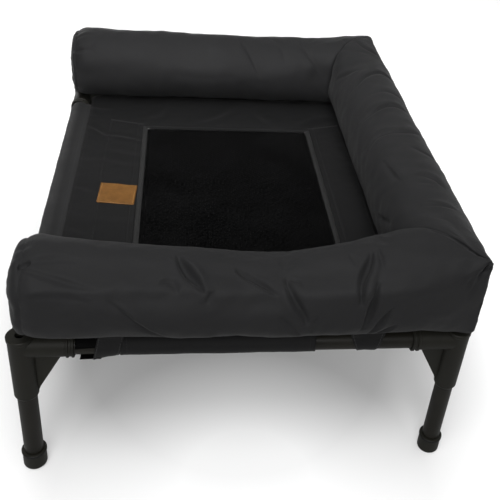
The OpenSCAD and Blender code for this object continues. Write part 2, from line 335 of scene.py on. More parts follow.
def groove(x, y, points, depth, width, above=0.0, below=0.0):
    """Height of a crisp fold: a lens-shaped valley that runs out to a point at both ends, with a rounded
    ridge beside it. Going along the path with "round" pointing down, above is the ridge on its left and
    below the one on its right."""
    d, t, side = path_distance(x, y, smooth_path(points))
    lens = swell(t, 0, 1)
    w = width * (0.4 + 0.6 * lens)
    across = d * side
    ridges = above * bell(across + 2 * w, 1.3 * w) + below * bell(across - 2 * w, 1.3 * w)
    fade = past_ends(d, t, 0.5 * width) * (0.12 + 0.88 * lens**0.6)
    return (ridges - depth * bell(d, w)) * fade


def buckle(x, y, points, height, reach):
    """Height where cloth has buckled: a step along a path, steep on its right side, that runs out softly
    to the left within reach, with a dip at its foot."""
    foot, sharp = 0.4, 1.3 * MM
    d, t, side = path_distance(x, y, smooth_path(points))
    across = d * side
    step = 0.5 + 0.5 * np.tanh(across / sharp)
    rise = step * np.exp(-((np.maximum(across, 0) / reach) ** 1.3))
    dip = -foot * (1 - step) * np.exp(-np.maximum(-across, 0) / (0.45 * reach))
    return height * (rise + dip) * swell(t, 0.06, 0.7) * past_ends(d, t, 0.5 * reach)


def hollow(x, y, centre, size, depth):
    """Height of a broad soft dent, or of a swelling where depth is negative."""
    return -depth * bell(x - centre[0], size[0]) * bell(y - centre[1], size[1])


def waves(x, y, seed, size, amount):
    """Smooth unevenness: a fixed sum of slanted waves, of about the given size."""
    rng = np.random.default_rng(seed)
    total = np.zeros(x.shape)
    for octave in range(3):
        for _ in range(6):
            turn = rng.uniform(0, math.pi)
            wave = size / 2**octave * rng.uniform(0.7, 1.4)
            phase = rng.uniform(0, 2 * math.pi)
            across = x * math.cos(turn) + y * math.sin(turn)
            total += np.sin(across * 2 * math.pi / wave + phase) / 2**octave
    return total * amount / 3


# ------------------------------------------------------------------ materials

# The width of one band of the wave texture at a scale of 1
BAND_PERIOD = 0.314159


class Nodes:
    """A small builder of node trees."""

    def __init__(self, tree):
        self.tree = tree

    def node(self, kind, **settings):
        made = self.tree.nodes.new(kind)
        for key, value in settings.items():
            setattr(made, key, value)
        return made

    def link(self, a, b):
        self.tree.links.new(a, b)

    def feed(self, slot, value):
        if isinstance(value, tuple):
            slot.default_value = (*value, 1) if len(slot.default_value) == 4 else value
        elif isinstance(value, (int, float)):
            slot.default_value = value
        else:
            self.link(value, slot)

    def made_from(self, kind, output, inputs, **settings):
        """An output of a new node, once its inputs are fed."""
        made = self.node(kind, **settings)
        for slot, value in inputs.items():
            self.feed(made.inputs[slot], value)
        return made.outputs[output]

    def noise(self, vector, scale, detail=4.0, rough=0.55):
        inputs = {"Vector": vector, "Scale": scale, "Detail": detail, "Roughness": rough}
        return self.made_from("ShaderNodeTexNoise", "Fac", inputs)

    def math(self, operation, a, b):
        return self.made_from("ShaderNodeMath", 0, {0: a, 1: b}, operation=operation)

    def total(self, *parts):
        """The sum of values, each given with its weight."""
        weighted = [self.math("MULTIPLY", value, weight) for value, weight in parts]
        result = weighted[0]
        for value in weighted[1:]:
            result = self.math("ADD", result, value)
        return result

    def span(self, value, from_min, from_max, to_min, to_max):
        slots = ("Value", "From Min", "From Max", "To Min", "To Max")
        inputs = dict(zip(slots, (value, from_min, from_max, to_min, to_max)))
        return self.made_from("ShaderNodeMapRange", "Result", inputs)

    def mix(self, factor, a, b):
        return self.made_from("ShaderNodeMix", 2, {6: a, 7: b, 0: factor}, data_type="RGBA")

    def tint(self, value, low, high, dark, light):
        """A colour from dark to light as a value goes from low to high."""
        return self.mix(self.span(value, low, high, 0, 1), dark, light)

    def scaled(self, vector, scale):
        return self.made_from("ShaderNodeMapping", "Vector", {"Vector": vector, "Scale": scale})

    def height_of(self, vector):
        return self.made_from("ShaderNodeSeparateXYZ", "Z", {0: vector})

    def seen(self):
        """1 where the camera looks straight at something, else 0."""
        return self.node("ShaderNodeLightPath").outputs["Is Camera Ray"]


class Look(Nodes):
    """A material round one Principled shader."""

    def __init__(self, name, roughness, specular):
        self.material = bpy.data.materials.new(name)
        self.material.use_nodes = True
        super().__init__(self.material.node_tree)
        self.shader = self.tree.nodes["Principled BSDF"]
        self.set("Roughness", roughness)
        self.set("Specular IOR Level", specular)

    def set(self, slot, value):
        self.feed(self.shader.inputs[slot], value)

    def place(self):
        return self.node("ShaderNodeNewGeometry").outputs["Position"]

    def cloth_place(self):
        return self.node("ShaderNodeUVMap", uv_map="cloth").outputs["UV"]

    def threads(self, vector, pitch, direction):
        inputs = {"Vector": vector, "Scale": BAND_PERIOD / pitch}
        inputs.update({"Distortion": 0.6, "Detail": 1.0, "Detail Scale": 1.5})
        bands = {"wave_type": "BANDS", "bands_direction": direction}
        return self.made_from("ShaderNodeTexWave", "Fac", inputs, **bands)

    def bump(self, height, strength, distance, normal=None):
        inputs = {"Height": height, "Strength": strength, "Distance": distance}
        if normal is not None:
            inputs["Normal"] = normal
        return self.made_from("ShaderNodeBump", "Normal", inputs)


def woven(name, dark, light, roughness=0.62, pitch=0.0011):
    """Plain woven polyester: crossing threads, uneven yarn both ways, soft blotches and a little sheen."""
    m = Look(name, roughness, 0.08)
    flat = m.cloth_place()
    weave = m.math("MAXIMUM", m.threads(flat, pitch, "X"), m.threads(flat, pitch, "Y"))
    slubs = [m.noise(m.scaled(flat, scale), 1.0, 3) for scale in ((900, 28, 1), (28, 900, 1))]
    yarn = m.total((slubs[0], 0.5), (slubs[1], 0.5))
    blotch = m.noise(m.place(), 9, 5, 0.6)
    grain = m.noise(flat, 420, 2, 0.7)
    tone = m.total((yarn, 0.35), (blotch, 0.3), (grain, 0.35))
    base = m.tint(tone, 0.36, 0.64, dark, light)
    m.set("Base Color", m.mix(m.span(weave, 0.2, 1, 0.55, 0), base, (0.0, 0.0, 0.0)))
    m.set("Roughness", m.span(yarn, 0.3, 0.7, roughness - 0.07, roughness + 0.07))
    m.set("Sheen Weight", 0.03)
    m.set("Sheen Roughness", 0.45)
    soft = m.bump(m.noise(m.place(), 60, 3), 0.25, 0.0012)
    m.set("Normal", m.bump(m.total((weave, 1.0), (yarn, 0.6)), 0.35, 0.00035, soft))
    return m.material


def open_mesh():
    """Black mesh threads, a little knotted."""
    m = Look("mesh_threads", 0.8, 0.0)
    flat = m.cloth_place()
    strand = m.noise(m.scaled(flat, (700, 90, 1)), 1.0, 3)
    blotch = m.noise(m.place(), 14, 4)
    knots = m.noise(flat, 260, 2, 0.6)
    tone = m.total((strand, 0.22), (blotch, 0.22), (knots, 0.56))
    m.set("Base Color", m.tint(tone, 0.38, 0.64, (0.0004, 0.0004, 0.0004), (0.0050, 0.0050, 0.0051)))
    m.set("Normal", m.bump(strand, 0.5, 0.0004))
    return m.material


def tape(name, dark, light, specular=0.15, sheen=0.03):
    """Ribbed tape, its ribs running across it."""
    m = Look(name, 0.6, specular)
    ribs = m.threads(m.cloth_place(), 0.0014, "Y")
    base = m.tint(m.noise(m.place(), 35, 4), 0.35, 0.65, dark, light)
    m.set("Base Color", m.mix(m.span(ribs, 0.1, 1, 0.35, 0), base, (0, 0, 0)))
    m.set("Sheen Weight", sheen)
    m.set("Normal", m.bump(ribs, 0.4, 0.0004))
    return m.material


def thread(name, dark, light):
    m = Look(name, 0.55, 0.2)
    where = m.place()
    m.set("Base Color", m.mix(m.noise(where, 900, 2), dark, light))
    m.set("Normal", m.bump(m.noise(where, 2500, 1), 0.4, 0.0002))
    return m.material


def leather():
    """Bare tan patch: fine grain with dark creases, blotchy and a little shiny."""
    m = Look("tan_patch", 0.55, 0.2)
    where = m.place()
    inputs = {"Vector": where, "Scale": 900}
    grain = m.made_from("ShaderNodeTexVoronoi", "Distance", inputs, feature="DISTANCE_TO_EDGE")
    blotch = m.noise(where, 60, 5, 0.6)
    base = m.tint(blotch, 0.3, 0.7, (0.0988, 0.0410, 0.0061), (0.1581, 0.0707, 0.0129))
    m.set("Base Color", m.mix(m.span(grain, 0, 0.25, 0.4, 0), base, (0.0532, 0.0228, 0.0053)))
    m.set("Roughness", m.span(blotch, 0.3, 0.7, 0.62, 0.44))
    m.set("Normal", m.bump(grain, 0.3, 0.0006))
    return m.material


def moulded_plastic(name, dark, light, bead=None):
    """Matt moulded plastic: fine spark-eroded grain, faint flow marks and rubbed high spots. A band between
    two heights is painted near-black."""
    m = Look(name, 0.5, 0.12)
    where = m.place()
    flow = m.noise(m.scaled(where, (14, 14, 5)), 1.0, 5, 0.6)
    scuffs = m.noise(m.scaled(where, (60, 60, 240)), 1.0, 6, 0.7)
    base = m.tint(flow, 0.35, 0.65, dark, light)
    colour = m.mix(m.span(scuffs, 0.62, 0.74, 0, 0.35), base, tuple(v * 1.9 for v in light))
    if bead is not None:
        height = m.height_of(where)
        above, below = m.math("GREATER_THAN", height, bead[0]), m.math("LESS_THAN", height, bead[1])
        inside = m.math("MULTIPLY", above, below)
        colour = m.mix(inside, colour, (0.004, 0.004, 0.004))
    m.set("Base Color", colour)
    m.set("Roughness", m.span(flow, 0.3, 0.7, 0.44, 0.58))
    m.set("Normal", m.bump(m.noise(where, 1500, 2), 0.22, 0.0004, m.bump(flow, 0.12, 0.002)))
    return m.material


def powder_coat(name, dark, light):
    """Powder coat on steel: fine orange peel, a soft shine and a few rubbed marks."""
    m = Look(name, 0.42, 0.14)
    where = m.place()
    tone = m.noise(where, 22, 4)
    rubs = m.noise(m.scaled(where, (90, 90, 14)), 1.0, 6, 0.7)
    base = m.tint(tone, 0.35, 0.65, dark, light)
    m.set("Base Color", m.mix(m.span(rubs, 0.64, 0.76, 0, 0.3), base, tuple(v * 1.8 for v in light)))
    m.set("Roughness", m.span(tone, 0.3, 0.7, 0.38, 0.5))
    m.set("Normal", m.bump(m.noise(where, 420, 2), 0.25, 0.0004))
    return m.material


def painted_shadow_floor():
    """White floor that glows for the eye alone, so that it doesn't light the bed. Its glow is painted light
    and
    shade: a painted shadow round the bed that fades to white away from it, and a painted pool of light in a
    patch under the bed, towards its front."""
    m = Look("floor", 0.8, 0.0)
    where = m.place()
    m.set("Base Color", m.mix(m.noise(where, 3), (0.50, 0.50, 0.50), (0.53, 0.53, 0.53)))

    def reach(centre, scale):
        shift = (-centre[0], -centre[1], 0.0)
        moved = m.made_from("ShaderNodeVectorMath", 0, {0: where, 1: shift}, operation="ADD")
        flat = m.scaled(moved, (*scale, 0))
        return m.made_from("ShaderNodeVectorMath", "Value", {0: flat}, operation="LENGTH")

    # Painted shadow: the glow is low near the bed and grows away from it
    away = m.span(reach((0.0, 0.0), (1.1, 0.75)), 0.3, 0.54, 0.07, 0.56)
    # Painted pool of light: more glow in a patch under the front of the bed
    patch = m.span(reach((0.0, -0.41), (1.0, 1.0)), 0.09, 0.26, 0.33, 0)
    m.set("Emission Color", (1, 1, 1))
    m.set("Emission Strength", m.math("MULTIPLY", m.math("ADD", away, patch), m.seen()))
    return m.material


# ------------------------------------------------------------------ camera, light and floor

def camera():
    """The photograph's view. Its angles, place and lens were fitted to edges measured on the photograph."""
    azimuth, elevation, roll = (math.radians(v) for v in (-10.74, 32.25, 6.52))
    back = Vector((
        math.sin(azimuth) * math.cos(elevation),
        -math.cos(azimuth) * math.cos(elevation),
        math.sin(elevation),
    ))
    level = (-back).cross(Vector(UP)).normalized()
    upright = level.cross(-back)
    right = level * math.cos(roll) + upright * math.sin(roll)
    up = upright * math.cos(roll) - level * math.sin(roll)
    data = bpy.data.cameras.new("camera")
    data.sensor_width = 36
    data.lens = 55.5
    data.shift_x = -0.100
    data.shift_y = -0.110
    data.clip_start, data.clip_end = 0.01, 50
    cam = bpy.data.objects.new("camera", data)
    cam.matrix_world = Matrix((
        (right.x, up.x, back.x, -0.1027),
        (right.y, up.y, back.y, -1.0944),
        (right.z, up.z, back.z, 0.9154),
        (0, 0, 0, 1),
    ))
    bpy.context.scene.collection.objects.link(cam)
    bpy.context.scene.camera = cam


def area_light(name, place, target, size, power, spread):
    data = bpy.data.lights.new(name, "AREA")
    data.shape = "RECTANGLE"
    data.size, data.size_y = size
    data.energy = power
    data.spread = math.radians(spread)
    lamp = bpy.data.objects.new(name, data)
    lamp.location = place
    lamp.rotation_euler = (Vector(target) - Vector(place)).to_track_quat("-Z", "Y").to_euler()
    bpy.context.scene.collection.objects.link(lamp)


def studio():
    scene = bpy.context.scene
    scene.view_settings.view_transform = "Standard"
    world = bpy.data.worlds.new("studio")
    scene.world = world
    world.use_nodes = True
    room = Nodes(world.node_tree)
    back = room.tree.nodes["Background"]
    back.inputs["Color"].default_value = (1, 1, 1, 1)
    # The room is brightest overhead. Seen directly, it is as white as the floor.
    way = room.node("ShaderNodeTexCoord").outputs["Generated"]
    glow = room.span(room.height_of(way), 0.0, 1.0, 0.15, 0.85)
    room.link(room.math("MAXIMUM", glow, room.seen()), back.inputs["Strength"])
    for name, place, target, size, power, spread in (
        ("key", (-0.35, -1.15, 2.6), (0, 0, 0.2), (1.1, 0.9), 33, 180),
        ("front", (-0.3, -2.2, 1.6), (0, -0.3, 0.2), (1.2, 0.5), 27, 180),
        ("overhead", (-0.3, 0.5, 2.4), (0, 0, 0.2), (1.8, 1.8), 7, 180),
        # The next two are low, so they light the sides turned from the camera but not the bolsters' tops
        ("back", (-0.4, 2.0, 0.26), (0, 0, 0.26), (1.6, 0.16), 7, 180),
        ("right", (2.0, 0.3, 0.26), (0, 0, 0.26), (1.4, 0.16), 7, 180),
        ("inner", (-0.2, -0.75, 1.15), (-0.02, 0.37, 0.3), (0.6, 0.3), 1.5, 50),
    ):
        area_light(name, place, target, size, power, spread)
    xs = np.linspace(-8, 8, 40)
    ys = np.linspace(-6, 10, 40)
    floor = sheet_mesh("floor", np.array([[(x, y, 0.0) for x in xs] for y in ys]))
    floor.data.materials.append(painted_shadow_floor())


# ------------------------------------------------------------------ bolsters
#
# Each bolster is worked out along its own length: "along" runs from one end to the other, "out" points
# away from the bed and "up" is up, all from the middle of its section. An angle round the section is 0 on
# top, 90 on the outward side and -90 on the side that faces the dog. One degree is about a millimetre.

BOLSTER_W = right_hi[0] - right_lo[0]
BOLSTER_H = right_hi[2] - right_lo[2]
BOLSTER_Z = (right_hi[2] + right_lo[2]) / 2
MID_Y = front_lo[1] + BOLSTER_W / 2
MID_X = right_hi[0] - BOLSTER_W / 2
SECTION_R = 50 * MM
STEP = 4 * MM
AROUND = 96
ARC = 1.02 * MM
SEAM_BAND = 3 * MM


def outline(corners, bottom):
    """A closed path of round corners, each (out, up, radius, first angle, last angle), from the bottom."""
    path = [(0, bottom)]
    for out, up, radius, first, last in corners:
        for k in range(25):
            a = math.radians(first + (last - first) * k / 24)
            path.append((out + radius * math.cos(a), up + radius * math.sin(a)))
    return np.array(path + [(0, bottom)])


def sections():
    """The plain section and the one at an outer corner, as matching points of (out, up). The corner's is
    pulled in at the side, where it stands upright, and rises to a point on top."""
    w, h, r = BOLSTER_W / 2, BOLSTER_H / 2, SECTION_R
    turns = ((1, -1, -90), (1, 1, 0), (-1, 1, 90), (-1, -1, 180))
    quarters = [(x * (w - r), y * (h - r), r, first, first + 90) for x, y, first in turns]
    plain = outline(quarters, -h)
    side = 38 * MM
    point = outline((
        (side - 14 * MM, 14 * MM - h, 14 * MM, -90, 0),
        (side - 9 * MM, h - 5 * MM, 9 * MM, 0, 66),
        (-6 * MM, h - 39 * MM, 50 * MM, 66, 180),
        quarters[-1],
    ), -h)
    run = lengths_along(plain)
    count = np.arange(len(run))
    at = np.interp(np.arange(AROUND) / AROUND * run[-1], run, count)
    return points_at(at, count, plain), points_at(at, count, point)


def bolster_cage(free, dome, low, high):
    """Rings of a closed bolster as [ring, place, (along, out, up)]. free is the place of a sewn end and
    dome its depth, or None; low and high are the places where the centre line meets a neighbour's."""
    plain, point = sections()
    reach = 115 * MM
    rings = []

    def section(weight):
        return (plain * (1 - weight) + point * weight).T

    def sewn_ring(along, share):
        out, up = plain.T
        low_part = np.clip(-up / (BOLSTER_H / 2), 0, 1)
        scale = share + (1 - share) * 0.65 * low_part
        rings.append(np.stack([np.full(AROUND, along), out * scale, up * scale], 1))

    if free is not None:
        for share in (0.05, 0.18, 0.34, 0.5, 0.65, 0.78, 0.87, 0.93, 0.975, 1.0):
            depth = dome * (1 - math.sqrt(max(0, 1 - share**2.6)))
            sewn_ring(free + depth, share * 0.885)
        # A groove at the seam, then the cover opens out to its full section
        seam, after, opening = free + dome, 3.4 * MM, 16 * MM
        sewn_ring(seam + 1.6 * MM, 0.865)
        sewn_ring(seam + after, 0.905)
        for k in range(1, 5):
            sewn_ring(seam + after + opening * k / 5, 0.905 + 0.095 * math.sin(k / 5 * math.pi / 2))
        start = np.full(AROUND, seam + after + opening)
    else:
        out, up = section(1)
        start = low - out
        rings += mitre_rings(start, out, up, 1)
    out, up = section(1)
    end = high + out
    rough = end.mean() - start.mean()
    steps = int(round(rough / STEP))
    for k in range(0 if free is not None else 1, steps):
        t = k / steps
        weight = ease(1 - (1 - t) * rough / reach)
        if free is None:
            weight = max(weight, ease(1 - t * rough / reach))
        o, u = section(weight)
        rings.append(np.stack([start + (end - start) * t, o, u], 1))
    rings += mitre_rings(end, out, up, -1)[::-1]
    return np.array(rings)


def mitre_rings(edge, out, up, into):
    """Rings over a mitre's flat face and round its edge, from its middle outwards. into is the way along
    the bolster that leads away from the face."""
    made = []
    for share in (0.08, 0.25, 0.45, 0.65, 0.82, 0.93, 0.975, 0.994):
        back = {0.975: 0.5 * MM, 0.994: 2.25 * MM}.get(share, 0)
        o, u = out * share, up * share
        made.append(np.stack([edge + into * (out - o + back), o, u], 1))
    return made


class Bolster:
    """A bolster's mesh, with the tools that shape it in its own directions."""

    def __init__(self, name, axis, side, free=None, dome=0.0, low=None, high=None):
        self.axis, self.side = axis, side
        self.free, self.dome, self.low, self.high = free, dome, low, high
        cage = bolster_cage(free, dome, low, high)
        nu, nv = cage.shape[:2]
        faces = grid_faces(nu, nv, True)
        faces.append(tuple(range(nv))[::-1])
        faces.append(tuple(range((nu - 1) * nv, nu * nv)))
        self.ob = mesh_object(name, self.world(cage.reshape(-1, 3)), faces)
        turn_outwards(self.ob)

    def world(self, p):
        along, out, up = p.T
        if self.axis == "x":
            return np.stack([along, self.side * (-MID_Y + out), BOLSTER_Z + up], 1)
        return np.stack([MID_X + out, along, BOLSTER_Z + up], 1)

    def own(self, w):
        if self.axis == "x":
            return np.stack([w[:, 0], self.side * w[:, 1] + MID_Y, w[:, 2] - BOLSTER_Z], 1)
        return np.stack([w[:, 1], w[:, 0] - MID_X, w[:, 2] - BOLSTER_Z], 1)

    def read(self):
        return self.own(coords(self.ob))

    def write(self, p):
        set_coords(self.ob, self.world(p))

    def place(self):
        """Each point's place along and round the bolster, in metres."""
        p = self.read()
        return p[:, 0], np.degrees(np.arctan2(p[:, 1], p[:, 2])) * ARC

    def from_mitre(self, p):
        """How far points lie from the nearest mitre, measured along the bolster."""
        gap = self.high + p[:, 1] - p[:, 0]
        return np.minimum(gap, p[:, 0] - (self.low - p[:, 1])) if self.low is not None else gap

    def from_seam(self, x):
        """How far places along the bolster lie from the seam at its sewn end."""
        return np.abs(x - self.free - self.dome)

    def press(self, sag):
        """Lowers the top along a line of (place, drop), the bottom staying where it is, and lets the sides
        out. The inner side goes down more than the outer one."""
        lean, bulge, blur = 0.25, 0.16, 22
        p = self.read()
        share = np.clip(p[:, 2] / BOLSTER_H + 0.5, 0, 1)
        stops, drops = np.array(sag).T * MM
        shifts = np.linspace(-blur, blur, 12) * MM
        drop = np.mean([np.interp(p[:, 0] + shift, stops, drops) for shift in shifts], axis=0)
        drop *= 1 - lean * np.clip(p[:, 1] / (BOLSTER_W / 2), -1, 1)
        p[:, 2] -= drop * share**1.6
        spread = np.sign(p[:, 1]) * np.clip(np.abs(p[:, 1]) / 0.03, 0, 1)
        p[:, 1] += bulge * spread * drop * np.sin(np.pi * share)
        self.write(p)

    def lift(self, height):
        """Moves points along their normals by height, which gets the place along and round. The mitre's
        flat face takes no folds."""
        p = self.read()
        inside = np.hypot(p[:, 1], p[:, 2]) < 0.27 * np.hypot(BOLSTER_W, BOLSTER_H)
        face = (self.from_mitre(p) < 2 * MM) & inside
        amount = np.where(face, 0, height(*self.place()))
        set_coords(self.ob, coords(self.ob) + normals(self.ob) * amount[:, None])

    def keep_clear(self):
        """Keeps the bolster above the frame and on its own side of each mitre."""
        gap = 0.3 * MM
        p = self.read()
        p[:, 2] = np.maximum(p[:, 2], right_lo[2] - BOLSTER_Z)
        p[:, 0] = np.minimum(p[:, 0], self.high + p[:, 1] - gap)
        if self.low is not None:
            p[:, 0] = np.maximum(p[:, 0], self.low - p[:, 1] + gap)
        self.write(p)

    def fabric_coords(self):
        """Fabric coordinates: along, and round without a jump inside any face."""
        round_r = 58.5 * MM

        def place(points, face):
            p = self.own(points)
            turn = np.arctan2(p[:, 1], p[:, 2])
            count = np.bincount(face)
            middle = np.arctan2(*(np.bincount(face, part(turn)) / count for part in (np.sin, np.cos)))
            turn += 2 * math.pi * np.round((middle[face] - turn) / (2 * math.pi))
            return np.stack([p[:, 0], turn * round_r], 1)

        set_uv(self.ob, place)


def settle(ob, pins, rest, cap):
    """Blows a soft piece up by cloth simulation. pins is how firmly each point is held, rest the shape
    whose lengths the cloth wants, and cap the most a point may move."""
    frames = 20
    start = coords(ob)
    soft = ob.copy()
    soft.data = ob.data.copy()
    bpy.context.scene.collection.objects.link(soft)
    group = soft.vertex_groups.new(name="pins")
    for k, weight in enumerate(pins):
        if weight > 0:
            group.add([k], float(weight), "REPLACE")
    soft.shape_key_add(name="Basis")
    key = soft.shape_key_add(name="rest")
    key.data.foreach_set("co", np.ascontiguousarray(rest, np.float32).ravel())
    key.value = 0
    mod = soft.modifiers.new("cloth", "CLOTH")
    cloth = mod.settings
    cloth.quality = 6
    cloth.mass = 0.2
    cloth.tension_stiffness = cloth.compression_stiffness = 22
    cloth.shear_stiffness = 8
    cloth.bending_stiffness = 0.25
    cloth.tension_damping = cloth.compression_damping = cloth.shear_damping = 6
    cloth.use_pressure = True
    cloth.uniform_pressure_force = 4
    cloth.effector_weights.gravity = 0
    cloth.vertex_group_mass = "pins"
    cloth.pin_stiffness = 1.5
    cloth.rest_shape_key = key
    mod.collision_settings.use_collision = False
    mod.point_cache.frame_start, mod.point_cache.frame_end = 1, frames
    scene = bpy.context.scene
    for number in range(1, frames + 1):
        scene.frame_set(number)
    shaped = soft.evaluated_get(bpy.context.evaluated_depsgraph_get())
    move = vectors(shaped.data, "co") - start
    far = np.maximum(np.linalg.norm(move, axis=1, keepdims=True), 1e-9)
    set_coords(ob, start + move * np.minimum(1, cap / far))
    bpy.data.objects.remove(soft)
    scene.frame_set(1)


# The tables below hold places as (along, round) in millimetres and degrees, and sizes in millimetres. Most
# of the places were found by a ray cast, from points picked along the folds on the photograph, and some were
# then moved. The sizes were chosen.

# Folds in two of the bolsters: points, depth, width, lip and lean
FOLDS = {
    "right": (
        (((322, -3), (299, 11), (292, 32)), 3.6, 6, 0.5, 0.3),
        (((300, -30), (286, -12), (280, 6)), 2.4, 5, 0.5, 0.0),
        (((153, -42), (172, -21), (200, 16), (194, 41)), 4.0, 7, 0.5, 0.3),
        (((41, -50), (48, -27), (64, 1), (62, 30)), 6.5, 7, 0.5, 0.4),
        (((-43, -52), (-31, -30), (-31, -5), (-24, 30)), 4.5, 7, 0.5, 0.2),
        (((-108, -39), (-141, -36), (-173, -31)), 3.2, 6, 0.5, 0.0),
        (((-169, -6), (-174, 12), (-191, 24)), 3.2, 6, 0.5, 0.0),
        (((-191, -9), (-191, 9)), 2.6, 4, 0.5, 0.0),
        (((-247, -16), (-250, 3), (-252, 20)), 3.4, 5, 0.5, 0.0),
        (((-190, -85), (-235, -67)), 4.0, 7, 0.5, 0.0),
        (((230, -60), (216, -40), (212, -18)), 3.0, 6, 0.5, 0.0),
        (((110, -20), (118, 4), (112, 34)), 2.4, 8, 0.5, 0.0),
        (((-80, 8), (-92, 28), (-90, 55)), 2.2, 8, 0.5, 0.0),
        (((-300, 30), (-318, 44)), 2.6, 5, 0.5, 0.0),
        (((60, 62), (74, 92), (70, 120)), 2.6, 8, 0.5, 0.0),
        (((-120, 66), (-112, 96), (-126, 124)), 2.6, 8, 0.5, 0.0),
        (((230, 60), (220, 90), (236, 120)), 2.4, 8, 0.5, 0.0),
    ),
    "back": (
        (((-296, -50), (-279, -49), (-262, -49)), 3.6, 4, 0.7, 0.6),
        (((-261, -49), (-256, -40)), 2.8, 4, 0.5, 0.0),
        (((-292, -22), (-276, -18), (-258, -20)), 1.6, 5, 0.5, 0.0),
        (((14, -13), (32, -46), (49, -81)), 2.8, 8, 0.5, 0.0),
        (((131, -20), (149, -47), (166, -67)), 3.4, 8, 0.5, 0.0),
        (((80, -8), (92, -30), (96, -52)), 1.8, 8, 0.5, 0.0),
        (((214, -8), (226, -34), (222, -60)), 3.0, 6, 0.5, 0.0),
        (((-120, -84), (-60, -90), (0, -86)), 1.8, 9, 0.4, 0.0),
        (((-150, 50), (-138, 82), (-150, 112)), 2.6, 9, 0.5, 0.0),
        (((20, 46), (34, 80), (26, 116)), 2.8, 9, 0.5, 0.0),
        (((150, 52), (138, 84), (148, 118)), 2.6, 9, 0.5, 0.0),
    ),
}

# Folds in the front bolster: points, depth, width, and the height of the ridge above and below
GROOVES = (
    (((-280, 33), (-244, 42), (-213, 52), (-190, 57)), 3.0, 3.4, 0.6, 0.8),
    (((-276, 26), (-250, 19), (-212, 19)), 2.0, 4.0, 1.4, 0.0),
    (((-281, 29), (-270, 22)), 4.5, 2.4, 0.5, 0.5),
    (((-278, 66), (-245, 63), (-200, 70)), 1.2, 4.0, 0.8, 0.0),
    (((-178, 70), (-158, 88), (-141, 103), (-113, 121)), 2.8, 3.0, 1.2, 0.0),
    (((-101, 1), (-90, 26), (-79, 47), (-69, 63)), 7.5, 5.2, 3.8, 1.8),
    (((-122, 50), (-110, 47), (-101, 62)), 3.4, 5.0, 0.8, 0.0),
    (((-55, 60), (-63, 66), (-66, 74)), 2.4, 3.4, 0.0, 1.0),
    (((-30, 22), (-14, 38), (0, 52), (17, 66)), 6.5, 4.2, 0.8, 2.6),
    (((31, 40), (34, 62), (45, 82), (56, 103)), 5.6, 4.6, 0.4, 3.2),
    (((32, 40), (42, 45), (50, 54)), 2.6, 2.6, 1.0, 1.0),
    (((20, 90), (35, 104), (49, 119)), 2.8, 3.6, 0.4, 0.4),
    (((69, 90), (64, 103), (62, 115)), 2.2, 2.8, 0.3, 0.3),
    (((111, 2), (115, 14), (121, 26)), 1.6, 3.2, 0.4, 0.4),
    (((138, 4), (128, 33), (121, 52), (121, 76)), 8.0, 4.2, 4.4, 1.2),
    (((147, 0), (147, 16), (149, 31)), 2.4, 3.0, 0.6, 0.0),
    (((141, 49), (136, 68), (133, 90), (126, 114)), 7.6, 4.2, 0.8, 2.4),
    (((161, 80), (149, 104), (137, 130)), 4.8, 3.0, 1.4, 0.4),
    (((170, 108), (159, 120), (147, 131)), 3.2, 2.4, 0.8, 0.0),
    (((264, 46), (276, 36), (287, 28)), 7.0, 2.3, 1.8, 1.8),
    (((252, 55), (262, 45)), 2.2, 2.6, 0.5, 0.5),
    (((262, 58), (273, 48)), 1.8, 2.2, 0.4, 0.4),
    (((256, 68), (268, 61)), 1.4, 2.2, 0.3, 0.3),
    (((218, -16), (242, -2), (262, 13), (279, 27)), 1.8, 2.8, 0.8, 0.4),
    (((205, 100), (230, 110), (262, 121)), 1.6, 4.0, 0.6, 0.0),
)

# Sharp buckles: points, height and reach. The raised side is on the left of the path.
BUCKLES = {
    "right": (
        (((289, 36), (300, 10), (324, -5)), 2.6, 14),
        (((196, 44), (201, 16), (170, -22), (150, -44)), 3.0, 15),
        (((60, 34), (66, 2), (48, -27), (40, -52)), 4.0, 15),
        (((-22, 34), (-31, -4), (-31, -30), (-44, -54)), 3.2, 15),
        (((-176, -30), (-141, -36), (-106, -40)), 2.4, 12),
        (((-192, 26), (-174, 12), (-168, -8)), 2.4, 11),
        (((-253, 22), (-250, 3), (-246, -18)), 2.4, 11),
        (((210, -16), (217, -40), (232, -62)), 2.0, 12),
        (((-238, -66), (-214, -76), (-188, -86)), 2.4, 12),
        (((112, 40), (118, 6), (108, -24)), 1.4, 14),
        (((-88, 60), (-92, 30), (-78, 6)), 1.4, 14),
    ),
    "back": (
        (((-262, -49), (-280, -50), (-298, -50)), 2.6, 9),
        (((-254, -38), (-259, -44), (-262, -50)), 2.0, 8),
        (((50, -84), (32, -46), (13, -12)), 2.0, 16),
        (((168, -70), (149, -47), (130, -18)), 2.4, 15),
        (((224, -62), (226, -34), (213, -6)), 2.0, 13),
        (((98, -54), (92, -30), (78, -6)), 1.2, 15),
    ),
}

# How far weight has pressed each bolster's top down, as (place along, drop) in millimetres
SAGS = {
    "front": (
        (-285, 0), (-268, 1), (-185, 14), (-84, 24), (-20, 31), (22, 37),
        (50, 31), (109, 15), (150, 5), (193, -3), (235, 0), (300, 0),
    ),
    "right": ((-240, 0), (-140, 2), (60, 4), (180, 1), (260, 0)),
    "back": ((-260, 0), (-120, 2), (30, 4), (200, 1), (260, 0)),
}


def arc_path(points):
    """A fold's points of (along, round) in metres."""
    return [(along * MM, turn * ARC) for along, turn in points]


